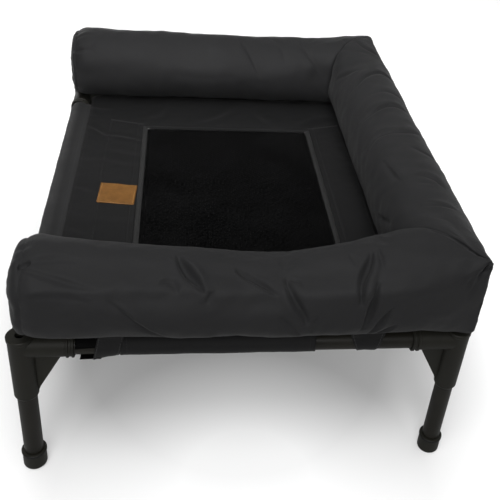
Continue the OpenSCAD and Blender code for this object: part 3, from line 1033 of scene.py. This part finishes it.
def folded(key, x, y, coarse):
    """Height of a bolster's folds. The coarse ones are set before the cloth is blown up, the rest after."""
    height = np.zeros(x.shape)
    if key == "front":
        for points, depth, width, above, below in GROOVES:
            path = arc_path(points)
            if coarse:
                height += groove(x, y, path, 0.4 * depth * MM, 1.8 * width * MM)
            else:
                height += groove(x, y, path, depth * MM, width * MM, above * MM, below * MM)
        return height
    deep, wide, lips = (0.55, 1.6, 0) if coarse else (0.4, 0.62, 1.1)
    for points, depth, width, lip, lean in FOLDS[key]:
        height += crease(x, y, arc_path(points), deep * depth * MM, wide * width * MM, lips * lip, lean)
    return height


def shaped(key, x, y):
    """Height of the sharp buckles or, in front, of the flat slope above the edge that faces outwards."""
    height = np.zeros(x.shape)
    if key != "front":
        for points, rise, reach in BUCKLES[key]:
            height += buckle(x, y, arc_path(points), 1.15 * rise * MM, reach * MM)
        return height
    part = ease((x + 300 * MM) / (40 * MM)) * ease((250 * MM - x) / (90 * MM))
    wander = y - 4 * ARC * np.sin(x * 14 + 1)
    height -= 4.6 * MM * part * bell(wander - 31 * ARC, 17 * ARC)
    height += 3.2 * MM * part * bell(wander - 60 * ARC, 9 * ARC)
    # The straps pull its lower edge in, so a dark gap shows above the rail
    under = ease((x + 300 * MM) / (30 * MM)) * ease((285 * MM - x) / (30 * MM))
    return height - 3.4 * MM * under * bell(y - 147 * ARC, 15 * ARC)


def gathers(bolster, x, y):
    """Small puckers that run from the seams at a bolster's ends and fade into it."""
    turn = y / ARC * math.pi / 180
    height = np.zeros(x.shape)
    if bolster.free is not None:
        wave = np.sin(turn * 17 + 1.3 * np.sin(turn * 3)) * (0.6 + 0.4 * np.sin(turn * 5 + 1))
        height += 0.55 * MM * wave * bell(bolster.from_seam(x), 15 * MM)
    gap = bolster.from_mitre(bolster.read())
    wave = np.sin(turn * 15 + 1.1 * np.sin(turn * 4 + 2)) * (0.6 + 0.4 * np.sin(turn * 7))
    return height + 0.5 * MM * wave * bell(gap, 17 * MM) * (gap > 1 * MM)


def blow_up(key, b):
    """Sets a bolster's coarse folds and lets the cloth fill out, held at its seams and underneath."""
    b.lift(lambda x, y: folded(key, x, y, True))
    p = b.read()
    held = (p[:, 2] < -BOLSTER_H / 2 + 4 * MM) | (b.from_mitre(p) < SEAM_BAND)
    if b.free is not None:
        held |= b.from_seam(p[:, 0]) < SEAM_BAND
    grown = p * np.array([1.035, 1.02, 1.02])
    settle(b.ob, held.astype(float), b.world(grown), 8 * MM)


def build_bolsters():
    made = {
        "front": Bolster("bolster_front", "x", -1, front_lo[0] + 10 * MM, 17 * MM, high=MID_X),
        "back": Bolster("bolster_back", "x", 1, front_lo[0] + 2 * MM, 12 * MM, high=MID_X),
        "right": Bolster("bolster_right", "y", 1, low=MID_Y, high=-MID_Y),
    }
    cloth = woven("bolster_weave", (0.0125, 0.0125, 0.0130), (0.0178, 0.0178, 0.0184), roughness=0.6)
    for seed, (key, b) in enumerate(made.items()):
        b.press(SAGS[key])
        blow_up(key, b)
        b.keep_clear()
        subdivide(b.ob)
        b.lift(lambda x, y: shaped(key, x, y) + folded(key, x, y, False) + gathers(b, x, y))
        b.lift(lambda x, y: waves(x, y, 40 + seed, 95 * MM, 0.9 * MM))
        b.keep_clear()
        b.fabric_coords()
        finish_piece(b.ob, cloth, (f"bolster_cover_{key}", f"bolster_fill_{key}"))


# ------------------------------------------------------------------ sling

# Folds in the sling: (x, y) points, height of the ridge, its width, and which way its dark side lies, in
# millimetres. The first four were found on the photograph, by a ray cast, and the others were given one by
# one.
SLING_FOLDS = (
    (((-287, 226), (-259, 196), (-233, 170)), 2.4, 5, 1),
    (((-231, 170), (-198, 168), (-166, 155)), 1.3, 5, 1),
    (((-283, -4), (-257, -13), (-233, -24)), 1.0, 6, 1),
    (((-286, 267), (-272, 255), (-258, 244)), 1.5, 5, 1),
    (((-280, -120), (-258, -128), (-236, -142)), 0.9, 7, 1),
    (((-282, 90), (-260, 82), (-238, 84)), 0.8, 8, 1),
    (((-230, 120), (-205, 112), (-168, 104)), 0.6, 8, 1),
    (((-228, 84), (-200, 74), (-170, 70)), 0.5, 8, 1),
    (((-228, -90), (-198, -98), (-170, -96)), 0.6, 8, 1),
    (((-60, 236), (-20, 258), (6, 290)), 1.8, 9, 1),
    (((70, 240), (50, 262), (44, 300)), 1.6, 9, -1),
    (((-150, 244), (-130, 262), (-122, 300)), 1.6, 10, 1),
    (((130, 230), (160, 260), (196, 276)), 1.6, 9, -1),
    (((216, 120), (234, 96), (246, 60)), 1.4, 8, -1),
    (((214, -60), (232, -84), (246, -120)), 1.4, 8, -1),
    (((-120, -232), (-100, -262), (-104, -300)), 1.6, 9, 1),
    (((60, -236), (82, -262), (80, -304)), 1.6, 9, -1),
)


def from_edge(x, y, half):
    """How far points lie outside a rectangle round the sling's middle, along x and along y."""
    return np.maximum(np.abs(x - SLING_X) - half[0], 0), np.maximum(np.abs(y) - half[1], 0)


def sling_height(x, y):
    """The sling's height: almost flat in the middle, turning up more and more towards the rails."""
    qx, qy = (gap / edge for gap, edge in zip(from_edge(x, y, MESH_HALF), SLING_HALF - MESH_HALF))
    q = np.minimum((qx**4 + qy**4) ** 0.25, 1.12)
    z = MESH_Z + (SEAM_Z - MESH_Z) * q**1.9
    # Folds die out where the sleeves' seams hold the cloth down
    free = ease((SLING_HALF[0] - np.abs(x - SLING_X)) / (14 * MM))
    for points, height, width, dark in SLING_FOLDS:
        d, t, side = path_distance(x, y, smooth_path(np.array(points) * MM))
        across = d * side * dark
        w = width * MM
        ridge = bell(across, w) - 0.8 * bell(across - 1.9 * w, 1.3 * w)
        z = z + height * MM * ridge * swell(t, 0.06, 0.6) * free * (q > 0)
    z += waves(x, y, 7, 120 * MM, 0.55 * MM) * np.minimum(q * 3, 1)
    # Cloth bunched up in the back left corner, under the bolster
    z += hollow(x, y, (-262 * MM, 316 * MM), (26 * MM, 13 * MM), -4.2 * MM)
    z += hollow(x, y, (-256 * MM, 290 * MM), (24 * MM, 8 * MM), 2.4 * MM)
    return z


def build_border(cloth):
    hx, hy = SLING_HALF
    bx, by = BIND_HALF - 1.2 * MM
    step, hem, lip = 4.2 * MM, 6 * MM, 5 * MM
    xs, ys = (
        lines([-h, -h + hem, -b - lip, -b, b, b + lip, h - hem, h], step)
        for h, b in ((hx, bx), (hy, by))
    )
    gx, gy = np.meshgrid(xs, ys, indexing="ij")
    mid_x, mid_y = ((g[1:, 1:] + g[:-1, :-1]) / 2 for g in (gx, gy))
    keep = (np.abs(mid_x) > bx) | (np.abs(mid_y) > by)
    x, y, rim, corner = round_corners(gx, gy, (hx, hy), 30 * MM)
    x += SLING_X
    z = sling_height(x, y)
    # Hems: a double layer at the rounded corners, and a folded edge along the mesh
    z += 0.8 * MM * np.exp(-((rim / (9 * MM)) ** 6)) * corner
    z += 0.7 * MM * ease(1 - np.abs(np.hypot(*from_edge(x, y, BIND_HALF)) - 5 * MM) / (5 * MM))
    used = np.zeros(gx.shape, bool)
    for rows in (slice(None, -1), slice(1, None)):
        for columns in (slice(None, -1), slice(1, None)):
            used[rows, columns] |= keep
    used = used.ravel()
    number = np.cumsum(used) - 1
    faces = [tuple(number[list(f)])[::-1] for f in grid_faces(*gx.shape, keep=keep)]
    ob = mesh_object("border_cloth", np.stack([x, y, z], -1).reshape(-1, 3)[used], faces)
    finish_flat(ob, 1.0 * MM, cloth, ("sling_border",))


def build_bands(cloth):
    """Folded bands beside the mesh. Places across them run from 0 at the mesh to 1 at the outer edge."""
    fold, outer_row = 0.135, 0.95
    for side, key in ((-1, "left"), (1, "right")):
        lo, hi = span(f"sling_band_{key}")
        inner, outer = (hi[0], lo[0]) if side < 0 else (lo[0], hi[0])
        end = hi[1]
        us = lines([0, 0.035, 0.12, 0.15, 0.85, 0.965, 1], 0.035)
        u = us[:, None]
        ys = lines([-end, -end + 5 * MM, end - 5 * MM, end], 4 * MM)
        # The band's ends are cut on a slant, and its outer edge wanders a little
        y = ys + (u - 0.35) * 13 * MM * (ys / end) * (np.abs(ys) / end) ** 6
        wander = 1.6 * MM * u * (np.sin(y * 9 + 1) + 0.6 * np.sin(y * 23))
        x = inner + (outer - inner) * u + side * (wander - 1.5 * MM * u)
        z = sling_height(x, y) + 1.15 * MM + 0.3 * MM * bell(np.abs(y) - end, 4 * MM)
        for middle, width, rise in ((1, 0.035, 0.8), (fold, 0.022, -1.1), (0.2, 0.05, 0.35)):
            z += rise * MM * bell(u - middle, width)
        grid = np.stack([x, y, z], -1)
        ob = sheet_mesh(f"band_{key}", grid)
        finish_flat(ob, 0.95 * MM, cloth, (f"sling_band_{key}",))
        marks = [Stitches(grid[np.argmin(np.abs(us - row))], UP) for row in (fold, outer_row)]
        sewn = stitch_mesh(f"band_stitches_{key}", marks)


def build_mesh_panel():
    """The mesh: threads 3.8 mm wide on a 4 mm pitch, woven over and under, with a small hole in each cell."""
    pitch, hole = 4.0 * MM, 0.2 * MM
    steps = (0, (pitch - hole) / 2, (pitch + hole) / 2)
    cells = [int(round(2 * half / pitch)) for half in MESH_HALF]
    xs, ys = (
        np.array([k * pitch + s for k in range(n) for s in steps] + [n * pitch]) - n * pitch / 2
        for n in cells
    )
    gx, gy = np.meshgrid(xs, ys, indexing="ij")
    i, j = np.indices(gx.shape)
    crossing = (i % 3 == 0) & (j % 3 == 0)
    over = np.where((i // 3 + j // 3) % 2 == 0, 1.0, -1.0)
    sag_x, sag_y = (np.cos(np.clip(g / (2 * h), -0.5, 0.5) * math.pi) for g, h in zip((gx, gy), MESH_HALF))
    z = MESH_Z - 0.4 * MM + 0.28 * MM * over * crossing - 2.2 * MM * sag_x * sag_y
    edge = np.minimum(MESH_HALF[0] - np.abs(gx), MESH_HALF[1] - np.abs(gy))
    z -= 0.9 * MM * bell(edge - 3 * MM, 2.2 * MM)
    keep = ~((i % 3 == 1) & (j % 3 == 1))[:-1, :-1]
    ob = sheet_mesh("mesh_cloth", np.stack([gx + SLING_X, gy, z], -1), keep)
    finish_flat(ob, None, open_mesh(), ("mesh_panel",))


def build_binding(light, cloth):
    """The binding round the mesh: a raised tape along its long sides and a folded hem across its ends."""
    hx, hy = MESH_HALF - 0.6 * MM
    short, long, stitched = 70, 98, 6
    corners = np.array([(-1, -1), (1, -1), (1, 1), (-1, 1), (-1, -1)], float)
    sides = []
    for a, b, n in zip(corners[:-1], corners[1:], (short, long, short, long)):
        t = np.arange(n)[:, None] / n
        sides.append(a * (1 - t) + b * t)
    loop = np.concatenate(sides)
    long_side = np.abs(loop[:, 0]) >= 1 - 1e-6
    rings = []
    for share in np.linspace(0, 1, 9):
        rise = 2.0 * MM * np.sin(np.pi * min(share * 0.92 + 0.08, 1)) ** 0.7
        x, y = (loop * (np.array([hx, hy]) + share * (BIND_W + 0.4 * MM))).T
        x = x + SLING_X
        rings.append(np.stack([x, y, sling_height(x, y) + 0.15 * MM + rise * np.where(long_side, 1, 0.2)], 1))
    grid = np.array(rings)
    ob = mesh_object("mesh_edge_tape", grid.reshape(-1, 3), grid_faces(*grid.shape[:2], True))
    face_up(ob)
    thicken(ob, 0.7 * MM)

    def at_end(points):
        return np.abs(points[:, 1]) - hy > np.abs(points[:, 0] - SLING_X) - hx

    set_uv(ob, lambda points, face: np.where(at_end(points)[:, None], points[:, [1, 0]], points[:, :2]))
    finish_piece(ob, light, ("mesh_binding",))
    ob.data.materials.append(cloth)
    for poly in ob.data.polygons:
        poly.material_index = int(at_end(np.array([poly.center]))[0])
    starts = (short, 2 * short + long)
    rows = [Stitches(grid[stitched][first:first + long], UP) for first in starts]
    sewn = stitch_mesh("tape_stitches", rows)


class Stitches:
    """A row of stitches along a line of points, on a surface that faces up_way."""

    def __init__(self, line, up_way, pitch=3.6 * MM):
        line = np.array(line, float)
        up_way = np.broadcast_to(np.array(up_way, float), line.shape)
        run = lengths_along(line)
        mid = np.arange(pitch, run[-1] - pitch / 2, pitch)
        self.centre = points_at(mid, run, line)
        self.way = points_at(mid + pitch / 3, run, line) - points_at(mid - pitch / 3, run, line)
        self.way /= np.linalg.norm(self.way, axis=1, keepdims=True)
        self.across = np.cross(points_at(mid, run, up_way), self.way)
        self.across /= np.linalg.norm(self.across, axis=1, keepdims=True)
        self.up = np.cross(self.way, self.across)

    def mesh(self):
        """Each stitch is a small thread, thick in its middle, that dips into the cloth at both ends."""
        length, radius, sink = 2.7 * MM, 0.33 * MM, 0.1 * MM
        sides = 5
        turns = np.arange(sides) / sides * 2 * math.pi
        # Place along the stitch, thickness and lift
        first_half = ((-0.5, 0.35, -0.4), (-0.3, 0.9, 0.25))
        stations = (*first_half, (0.0, 1.0, 0.5), *((-t, thick, lift) for t, thick, lift in first_half[::-1]))
        one = grid_faces(len(stations), sides, True)
        one.append(tuple(range(sides))[::-1])
        one.append(tuple(range((len(stations) - 1) * sides, len(stations) * sides)))
        verts, faces = [], []
        for c, w, a, u in zip(self.centre, self.way, self.across, self.up):
            faces += [tuple(k + len(verts) for k in face) for face in one]
            for t, thick, lift in stations:
                middle = c + w * t * length + u * (lift * radius - sink)
                verts += [middle + radius * thick * (a * math.cos(q) + u * math.sin(q)) for q in turns]
        return verts, faces


def stitch_mesh(name, rows, material=None):
    verts, faces = [], []
    for row in rows:
        v, f = row.mesh()
        faces += [tuple(k + len(verts) for k in face) for face in f]
        verts += v
    ob = mesh_object(name, verts, faces)
    turn_outwards(ob)
    return finish_piece(ob, material or sewing_thread, ())


# ------------------------------------------------------------------ sleeves and straps, round the rails

# A point on each rail, the way along it and the way outwards
RAILS = {
    "left": ((LEFT_X, 0, RAIL_Z), (0, 1, 0), (-1, 0, 0)),
    "right": ((RIGHT_X, 0, RAIL_Z), (0, 1, 0), (1, 0, 0)),
    "front": ((0, FRONT_Y, RAIL_Z), (1, 0, 0), (0, -1, 0)),
    "back": ((0, BACK_Y, RAIL_Z), (1, 0, 0), (0, 1, 0)),
}
RAILS = {key: np.array(row, float) for key, row in RAILS.items()}


def round_rail(key, along, out, up):
    """Points from places along a rail, outwards from its middle and up."""
    middle, way, away = RAILS[key]
    along, out, up = (v[..., None] for v in np.broadcast_arrays(along, out, up))
    return middle + along * way + out * away + up * np.array(UP)


def finish_wrapped(ob, rail, centre, r, thickness, material, node):
    """Finishes an open sheet that goes round a rail: its outer side faces away from centre, and its fabric
    coordinates run along the rail and round it at radius r."""
    middle, way, away = RAILS[rail]
    if (normals(ob) * (coords(ob) - centre)).sum() < 0:
        ob.data.flip_normals()
    thicken(ob, thickness)

    def rail_coords(points, face):
        place = points - middle
        return np.stack([place @ way, np.arctan2(place @ away, place[:, 2]) * r], 1)

    set_uv(ob, rail_coords)
    finish_piece(ob, material, (node,))


def build_sleeve(key, cloth):
    """A sleeve sewn into the sling's edge: it comes off the sling, goes over the rail, round and back."""
    lo, hi = span(f"rail_pocket_{key}")
    middle, way, away = RAILS[key]
    first, last = float(lo @ way), float(hi @ way)
    if key == "front":
        # This one has slid along its rail until it meets the strap
        first -= 12 * MM
    centre, half = (first + last) / 2, (last - first) / 2
    sling_edge = {"left": SLING_HALF[0] - SLING_X, "right": SLING_HALF[0] + SLING_X}.get(key, SLING_HALF[1])
    seam_out = -abs(abs(middle @ away) - sling_edge)
    seam_up = SEAM_Z - RAIL_Z
    r = TUBE_R + 1.4 * MM
    section = [(seam_out, seam_up + 0.15 * MM), (seam_out + 5.5 * MM, seam_up + 0.9 * MM)]
    section += [(r * math.sin(a), r * math.cos(a)) for a in np.radians(np.linspace(-38, 200, 15))]
    section += [(-0.72 * r, -0.50 * r), (seam_out + 4 * MM, seam_up - 4.5 * MM)]
    section += [(seam_out, seam_up - 1.6 * MM)]
    section = smooth_line(section, 46)
    out, up = section.T
    alongs = lines([first, first + 5 * MM, last - 5 * MM, last], 5 * MM)
    along = np.broadcast_to(alongs[:, None], (len(alongs), len(section)))
    share = (along - centre) / half
    # The ends are cut back on the outer side
    cut = (6 * MM if key in ("front", "back") else 12 * MM) * ease((np.sin(np.arctan2(out, up)) + 0.35) / 1.3)
    along = along - np.sign(share) * np.abs(share) ** 8 * cut
    round_place = np.broadcast_to(np.arange(len(section)) * 1.5 * MM, along.shape)
    ripple = waves(along, round_place, 90 + ord(key[0]), 60 * MM, 0.28 * MM)
    grow = 1 + (0.35 * MM + ripple + 0.35 * MM * (np.abs(share) > 0.985)) / r
    hem = np.where(np.hypot(out, up) < r * 1.02, np.maximum(grow, 1), 1)
    grid = round_rail(key, along, out * hem, up * hem)
    ob = sheet_mesh(f"sleeve_{key}", grid)
    finish_wrapped(ob, key, middle + centre * way, r, 0.9 * MM, cloth, f"rail_pocket_{key}")
    rows = [Stitches(grid[:, 3], UP, pitch=4 * MM)]
    for k in (2, -3):
        rows.append(Stitches(grid[k, 5:34], grid[k, 5:34] - (middle + alongs[k] * way)))
    sewn = stitch_mesh(f"sleeve_stitches_{key}", rows)


def build_strap(rail, key, cloth, shear=0.0, flare=0.0, slack=0.0):
    """A strap from the bolster down round the rail and back up, its sides pressed together above it. shear
    slants it, flare widens it towards its top, and slack lets its first edge hang below the rail."""
    node = f"strap_{key}"
    lo, hi = span(node)
    middle, way = RAILS[rail][:2]
    first, last = float(lo @ way), float(hi @ way)
    centre, half = (first + last) / 2, (last - first) / 2
    top = hi[2] - RAIL_Z - 0.4 * MM
    r = TUBE_R + 1.1 * MM
    down = [(3.4 * MM, top), (4.6 * MM, top * 0.86), (8.2 * MM, r * 1.12)]
    section = down + [(r * math.sin(a), r * math.cos(a)) for a in np.radians(np.linspace(42, 318, 21))]
    section = smooth_line(section + [(-out, up) for out, up in down[::-1]], 54)
    out, up = section.T
    us = np.array([-1, -0.93, -0.86, -0.79, -0.5, -0.2, 0.1, 0.4, 0.7, 0.79, 0.86, 0.93, 1])
    u = us[:, None]
    width = 1 + flare * (up + r) / (top + r) - 0.35 * flare
    along = centre + u * half * width + shear * (up - top)
    bead = 0.55 * MM * bell(np.abs(u) - 0.95, 0.05) + 0.25 * MM * bell(np.abs(u) - 0.66, 0.09)
    scale = 1 + (bead + 0.22 * MM * np.sin(u * 5 + first * 40)) / np.hypot(out, up)
    hang = slack * (1 - u) / 2 * np.clip(-up / r, 0, 1)
    grid = round_rail(rail, along, out * scale, up * scale - hang)
    ob = sheet_mesh(f"{node}_cloth", grid)
    finish_wrapped(ob, rail, middle + centre * way, r, 1.0 * MM, cloth, node)
    line = round_rail(rail, along.mean(0), 0, 0)
    rows = [Stitches(grid[k, 2:-2], (grid[k] - line)[2:-2], pitch=3.4 * MM) for k in (2, -3)]
    sewn = stitch_mesh(f"{node}_stitches", rows, light_thread)


def build_strap_tail(cloth):
    """The black tail of the front left strap's fastener: a stiff tab under the rail, beside the strap."""
    strap_x = span("strap_front_left")[0][0]
    u, v = np.meshgrid(np.linspace(0, 1, 11), np.linspace(0, 1, 9), indexing="ij")
    x = strap_x - 24 * MM + 26 * MM * u
    y = FRONT_Y - 11 * MM + 19 * MM * v
    r = TUBE_R + 1.0 * MM
    under = RAIL_Z - np.sqrt(np.maximum(r * r - (y - FRONT_Y) ** 2, (0.45 * r) ** 2))
    z = under - 1.5 * MM - 3.2 * MM * (1 - v) ** 2 - 1.2 * MM * (1 - u) ** 2 - 0.8 * MM * u
    ob = sheet_mesh("strap_tail", np.stack([x, y, z], -1))
    finish_flat(ob, 1.3 * MM, cloth, ())


def build_painted_shade_hook_tape(cloth):
    """The black hook tape of the same fastener, bent over the bare rail between strap and connector. Its
    near-black also stands for the bolster's shade on the rail's top: partly painted shade.
    """
    strap_x = span("strap_front_left")[0][0]
    u, v = np.meshgrid(np.linspace(0, 1, 13), np.linspace(0, 1, 13), indexing="ij")
    turn = np.radians(-25 + 99 * v - 5 * u)
    r = TUBE_R + 1.1 * MM + 0.3 * MM * np.sin(5 * u + 2) * v
    x = strap_x - 28.5 * MM + 27 * MM * u
    ob = sheet_mesh("hook_tape", np.stack([x, FRONT_Y - r * np.sin(turn), RAIL_Z + r * np.cos(turn)], -1))
    finish_flat(ob, 0.9 * MM, cloth, ())


def build_label(skin):
    """The bare patch: a thick tan square with soft edges, sewn across both short ends."""
    half = (label_hi[:2] - label_lo[:2]) / 2
    centre = (label_hi[:2] + label_lo[:2]) / 2
    turn, shrink = math.radians(-3), 0.985
    us = np.concatenate([[-1, -0.985, -0.95], np.linspace(-0.9, 0.9, 15), [0.95, 0.985, 1]])
    u, v = np.meshgrid(us, us, indexing="ij")
    u, v = round_corners(u, v, (1, 1), 0.06)[:2]
    x = centre[0] + u * half[0] * math.cos(turn) * shrink - v * half[1] * math.sin(turn)
    y = centre[1] + u * half[0] * math.sin(turn) + v * half[1] * math.cos(turn) * shrink
    edge = np.minimum(1 - np.abs(u), 1 - np.abs(v))
    z = sling_height(x, y) + 1.3 * MM + 1.7 * MM * np.clip(edge / 0.035, 0, 1) ** 0.4
    z -= 0.35 * MM * bell(np.abs(u) - 0.88, 0.03)
    z += waves(x, y, 31, 40 * MM, 0.25 * MM)
    grid = np.stack([x, y, z], -1)
    ob = sheet_mesh("label_bare", grid)
    finish_flat(ob, 1.2 * MM, skin, ("label_patch",))
    row = int(np.argmin(np.abs(us + 0.9)))
    rows = [Stitches(grid[k, 2:-2], UP, pitch=3.4 * MM) for k in (row, len(us) - 1 - row)]
    sewn = stitch_mesh("label_stitches", rows, label_thread)


def dress_frame():
    """Materials for the frame's own solids."""
    cap_top = span("foot_cap_front_left")[1][2]
    # A band round the top of each foot cap, painted near-black
    bead = (cap_top - 3.4 * MM, cap_top - 0.4 * MM)
    paint = powder_coat("tube_coat", (0.0066, 0.0061, 0.0046), (0.0096, 0.0089, 0.0067))
    connector = moulded_plastic("connector_moulding", (0.0082, 0.0079, 0.0062), (0.0122, 0.0119, 0.0093))
    cap = moulded_plastic("foot_moulding", (0.0090, 0.0088, 0.0070), (0.0132, 0.0130, 0.0104), bead)
    looks = {"corner_connector": connector, "foot_cap": cap, "leg_tube": paint, "rail_": paint}
    for ob in bpy.data.objects:
        for start, material in looks.items():
            if ob.type == "MESH" and ob.name.startswith(start) and "pocket" not in ob.name:
                ob.data.materials.clear()
                ob.data.materials.append(material)


# ------------------------------------------------------------------ the scene

camera()
studio()
dress_frame()
sewing_thread = thread("black_thread", (0.010, 0.010, 0.010), (0.024, 0.024, 0.024))
light_thread = thread("grey_thread", (0.030, 0.030, 0.030), (0.055, 0.055, 0.055))
label_thread = thread("tan_thread", (0.22, 0.11, 0.035), (0.34, 0.19, 0.07))
sling_cloth = woven("sling_weave", (0.0063, 0.0063, 0.0065), (0.0093, 0.0093, 0.0096))
sleeve_cloth = woven("sleeve_weave", (0.0086, 0.0086, 0.0088), (0.0126, 0.0126, 0.0129))
# A lighter copy of the sleeve cloth, for the left sleeve: painted light, for the light its rounded top
# catches from the upper left
painted_light_sleeve_cloth = woven("faded_sleeve_weave", (0.0165, 0.0165, 0.0168), (0.0240, 0.0240, 0.0243))
band_cloth = woven("band_weave", (0.0061, 0.0061, 0.0063), (0.0088, 0.0088, 0.0090))
strap_cloth = woven("strap_weave", (0.0090, 0.0090, 0.0092), (0.0135, 0.0135, 0.0138), pitch=0.0014)
binding_light = tape("binding_weave", (0.0105, 0.0105, 0.0104), (0.0152, 0.0152, 0.0150))
build_border(sling_cloth)
build_bands(band_cloth)
build_mesh_panel()
build_binding(binding_light, sling_cloth)
for side in RAILS:
    build_sleeve(side, painted_light_sleeve_cloth if side == "left" else sleeve_cloth)
build_strap("front", "front_left", strap_cloth, shear=0.24, slack=10 * MM)
build_strap("front", "front_right", strap_cloth, flare=1.0)
build_strap("back", "back_left", strap_cloth, shear=-0.1)
build_strap("back", "back_right", strap_cloth, flare=0.25)
build_strap("right", "right_front", strap_cloth, shear=0.05)
build_strap("right", "right_back", strap_cloth)
fastener = tape("fastener_tape", (0.0014, 0.0014, 0.0014), (0.0026, 0.0026, 0.0026), specular=0.02, sheen=0.0)
build_strap_tail(fastener)
# Near-black tape over the rail's top: partly a fastener, partly painted shade under the bolster
build_painted_shade_hook_tape(fastener)
build_label(leather())
build_bolsters()
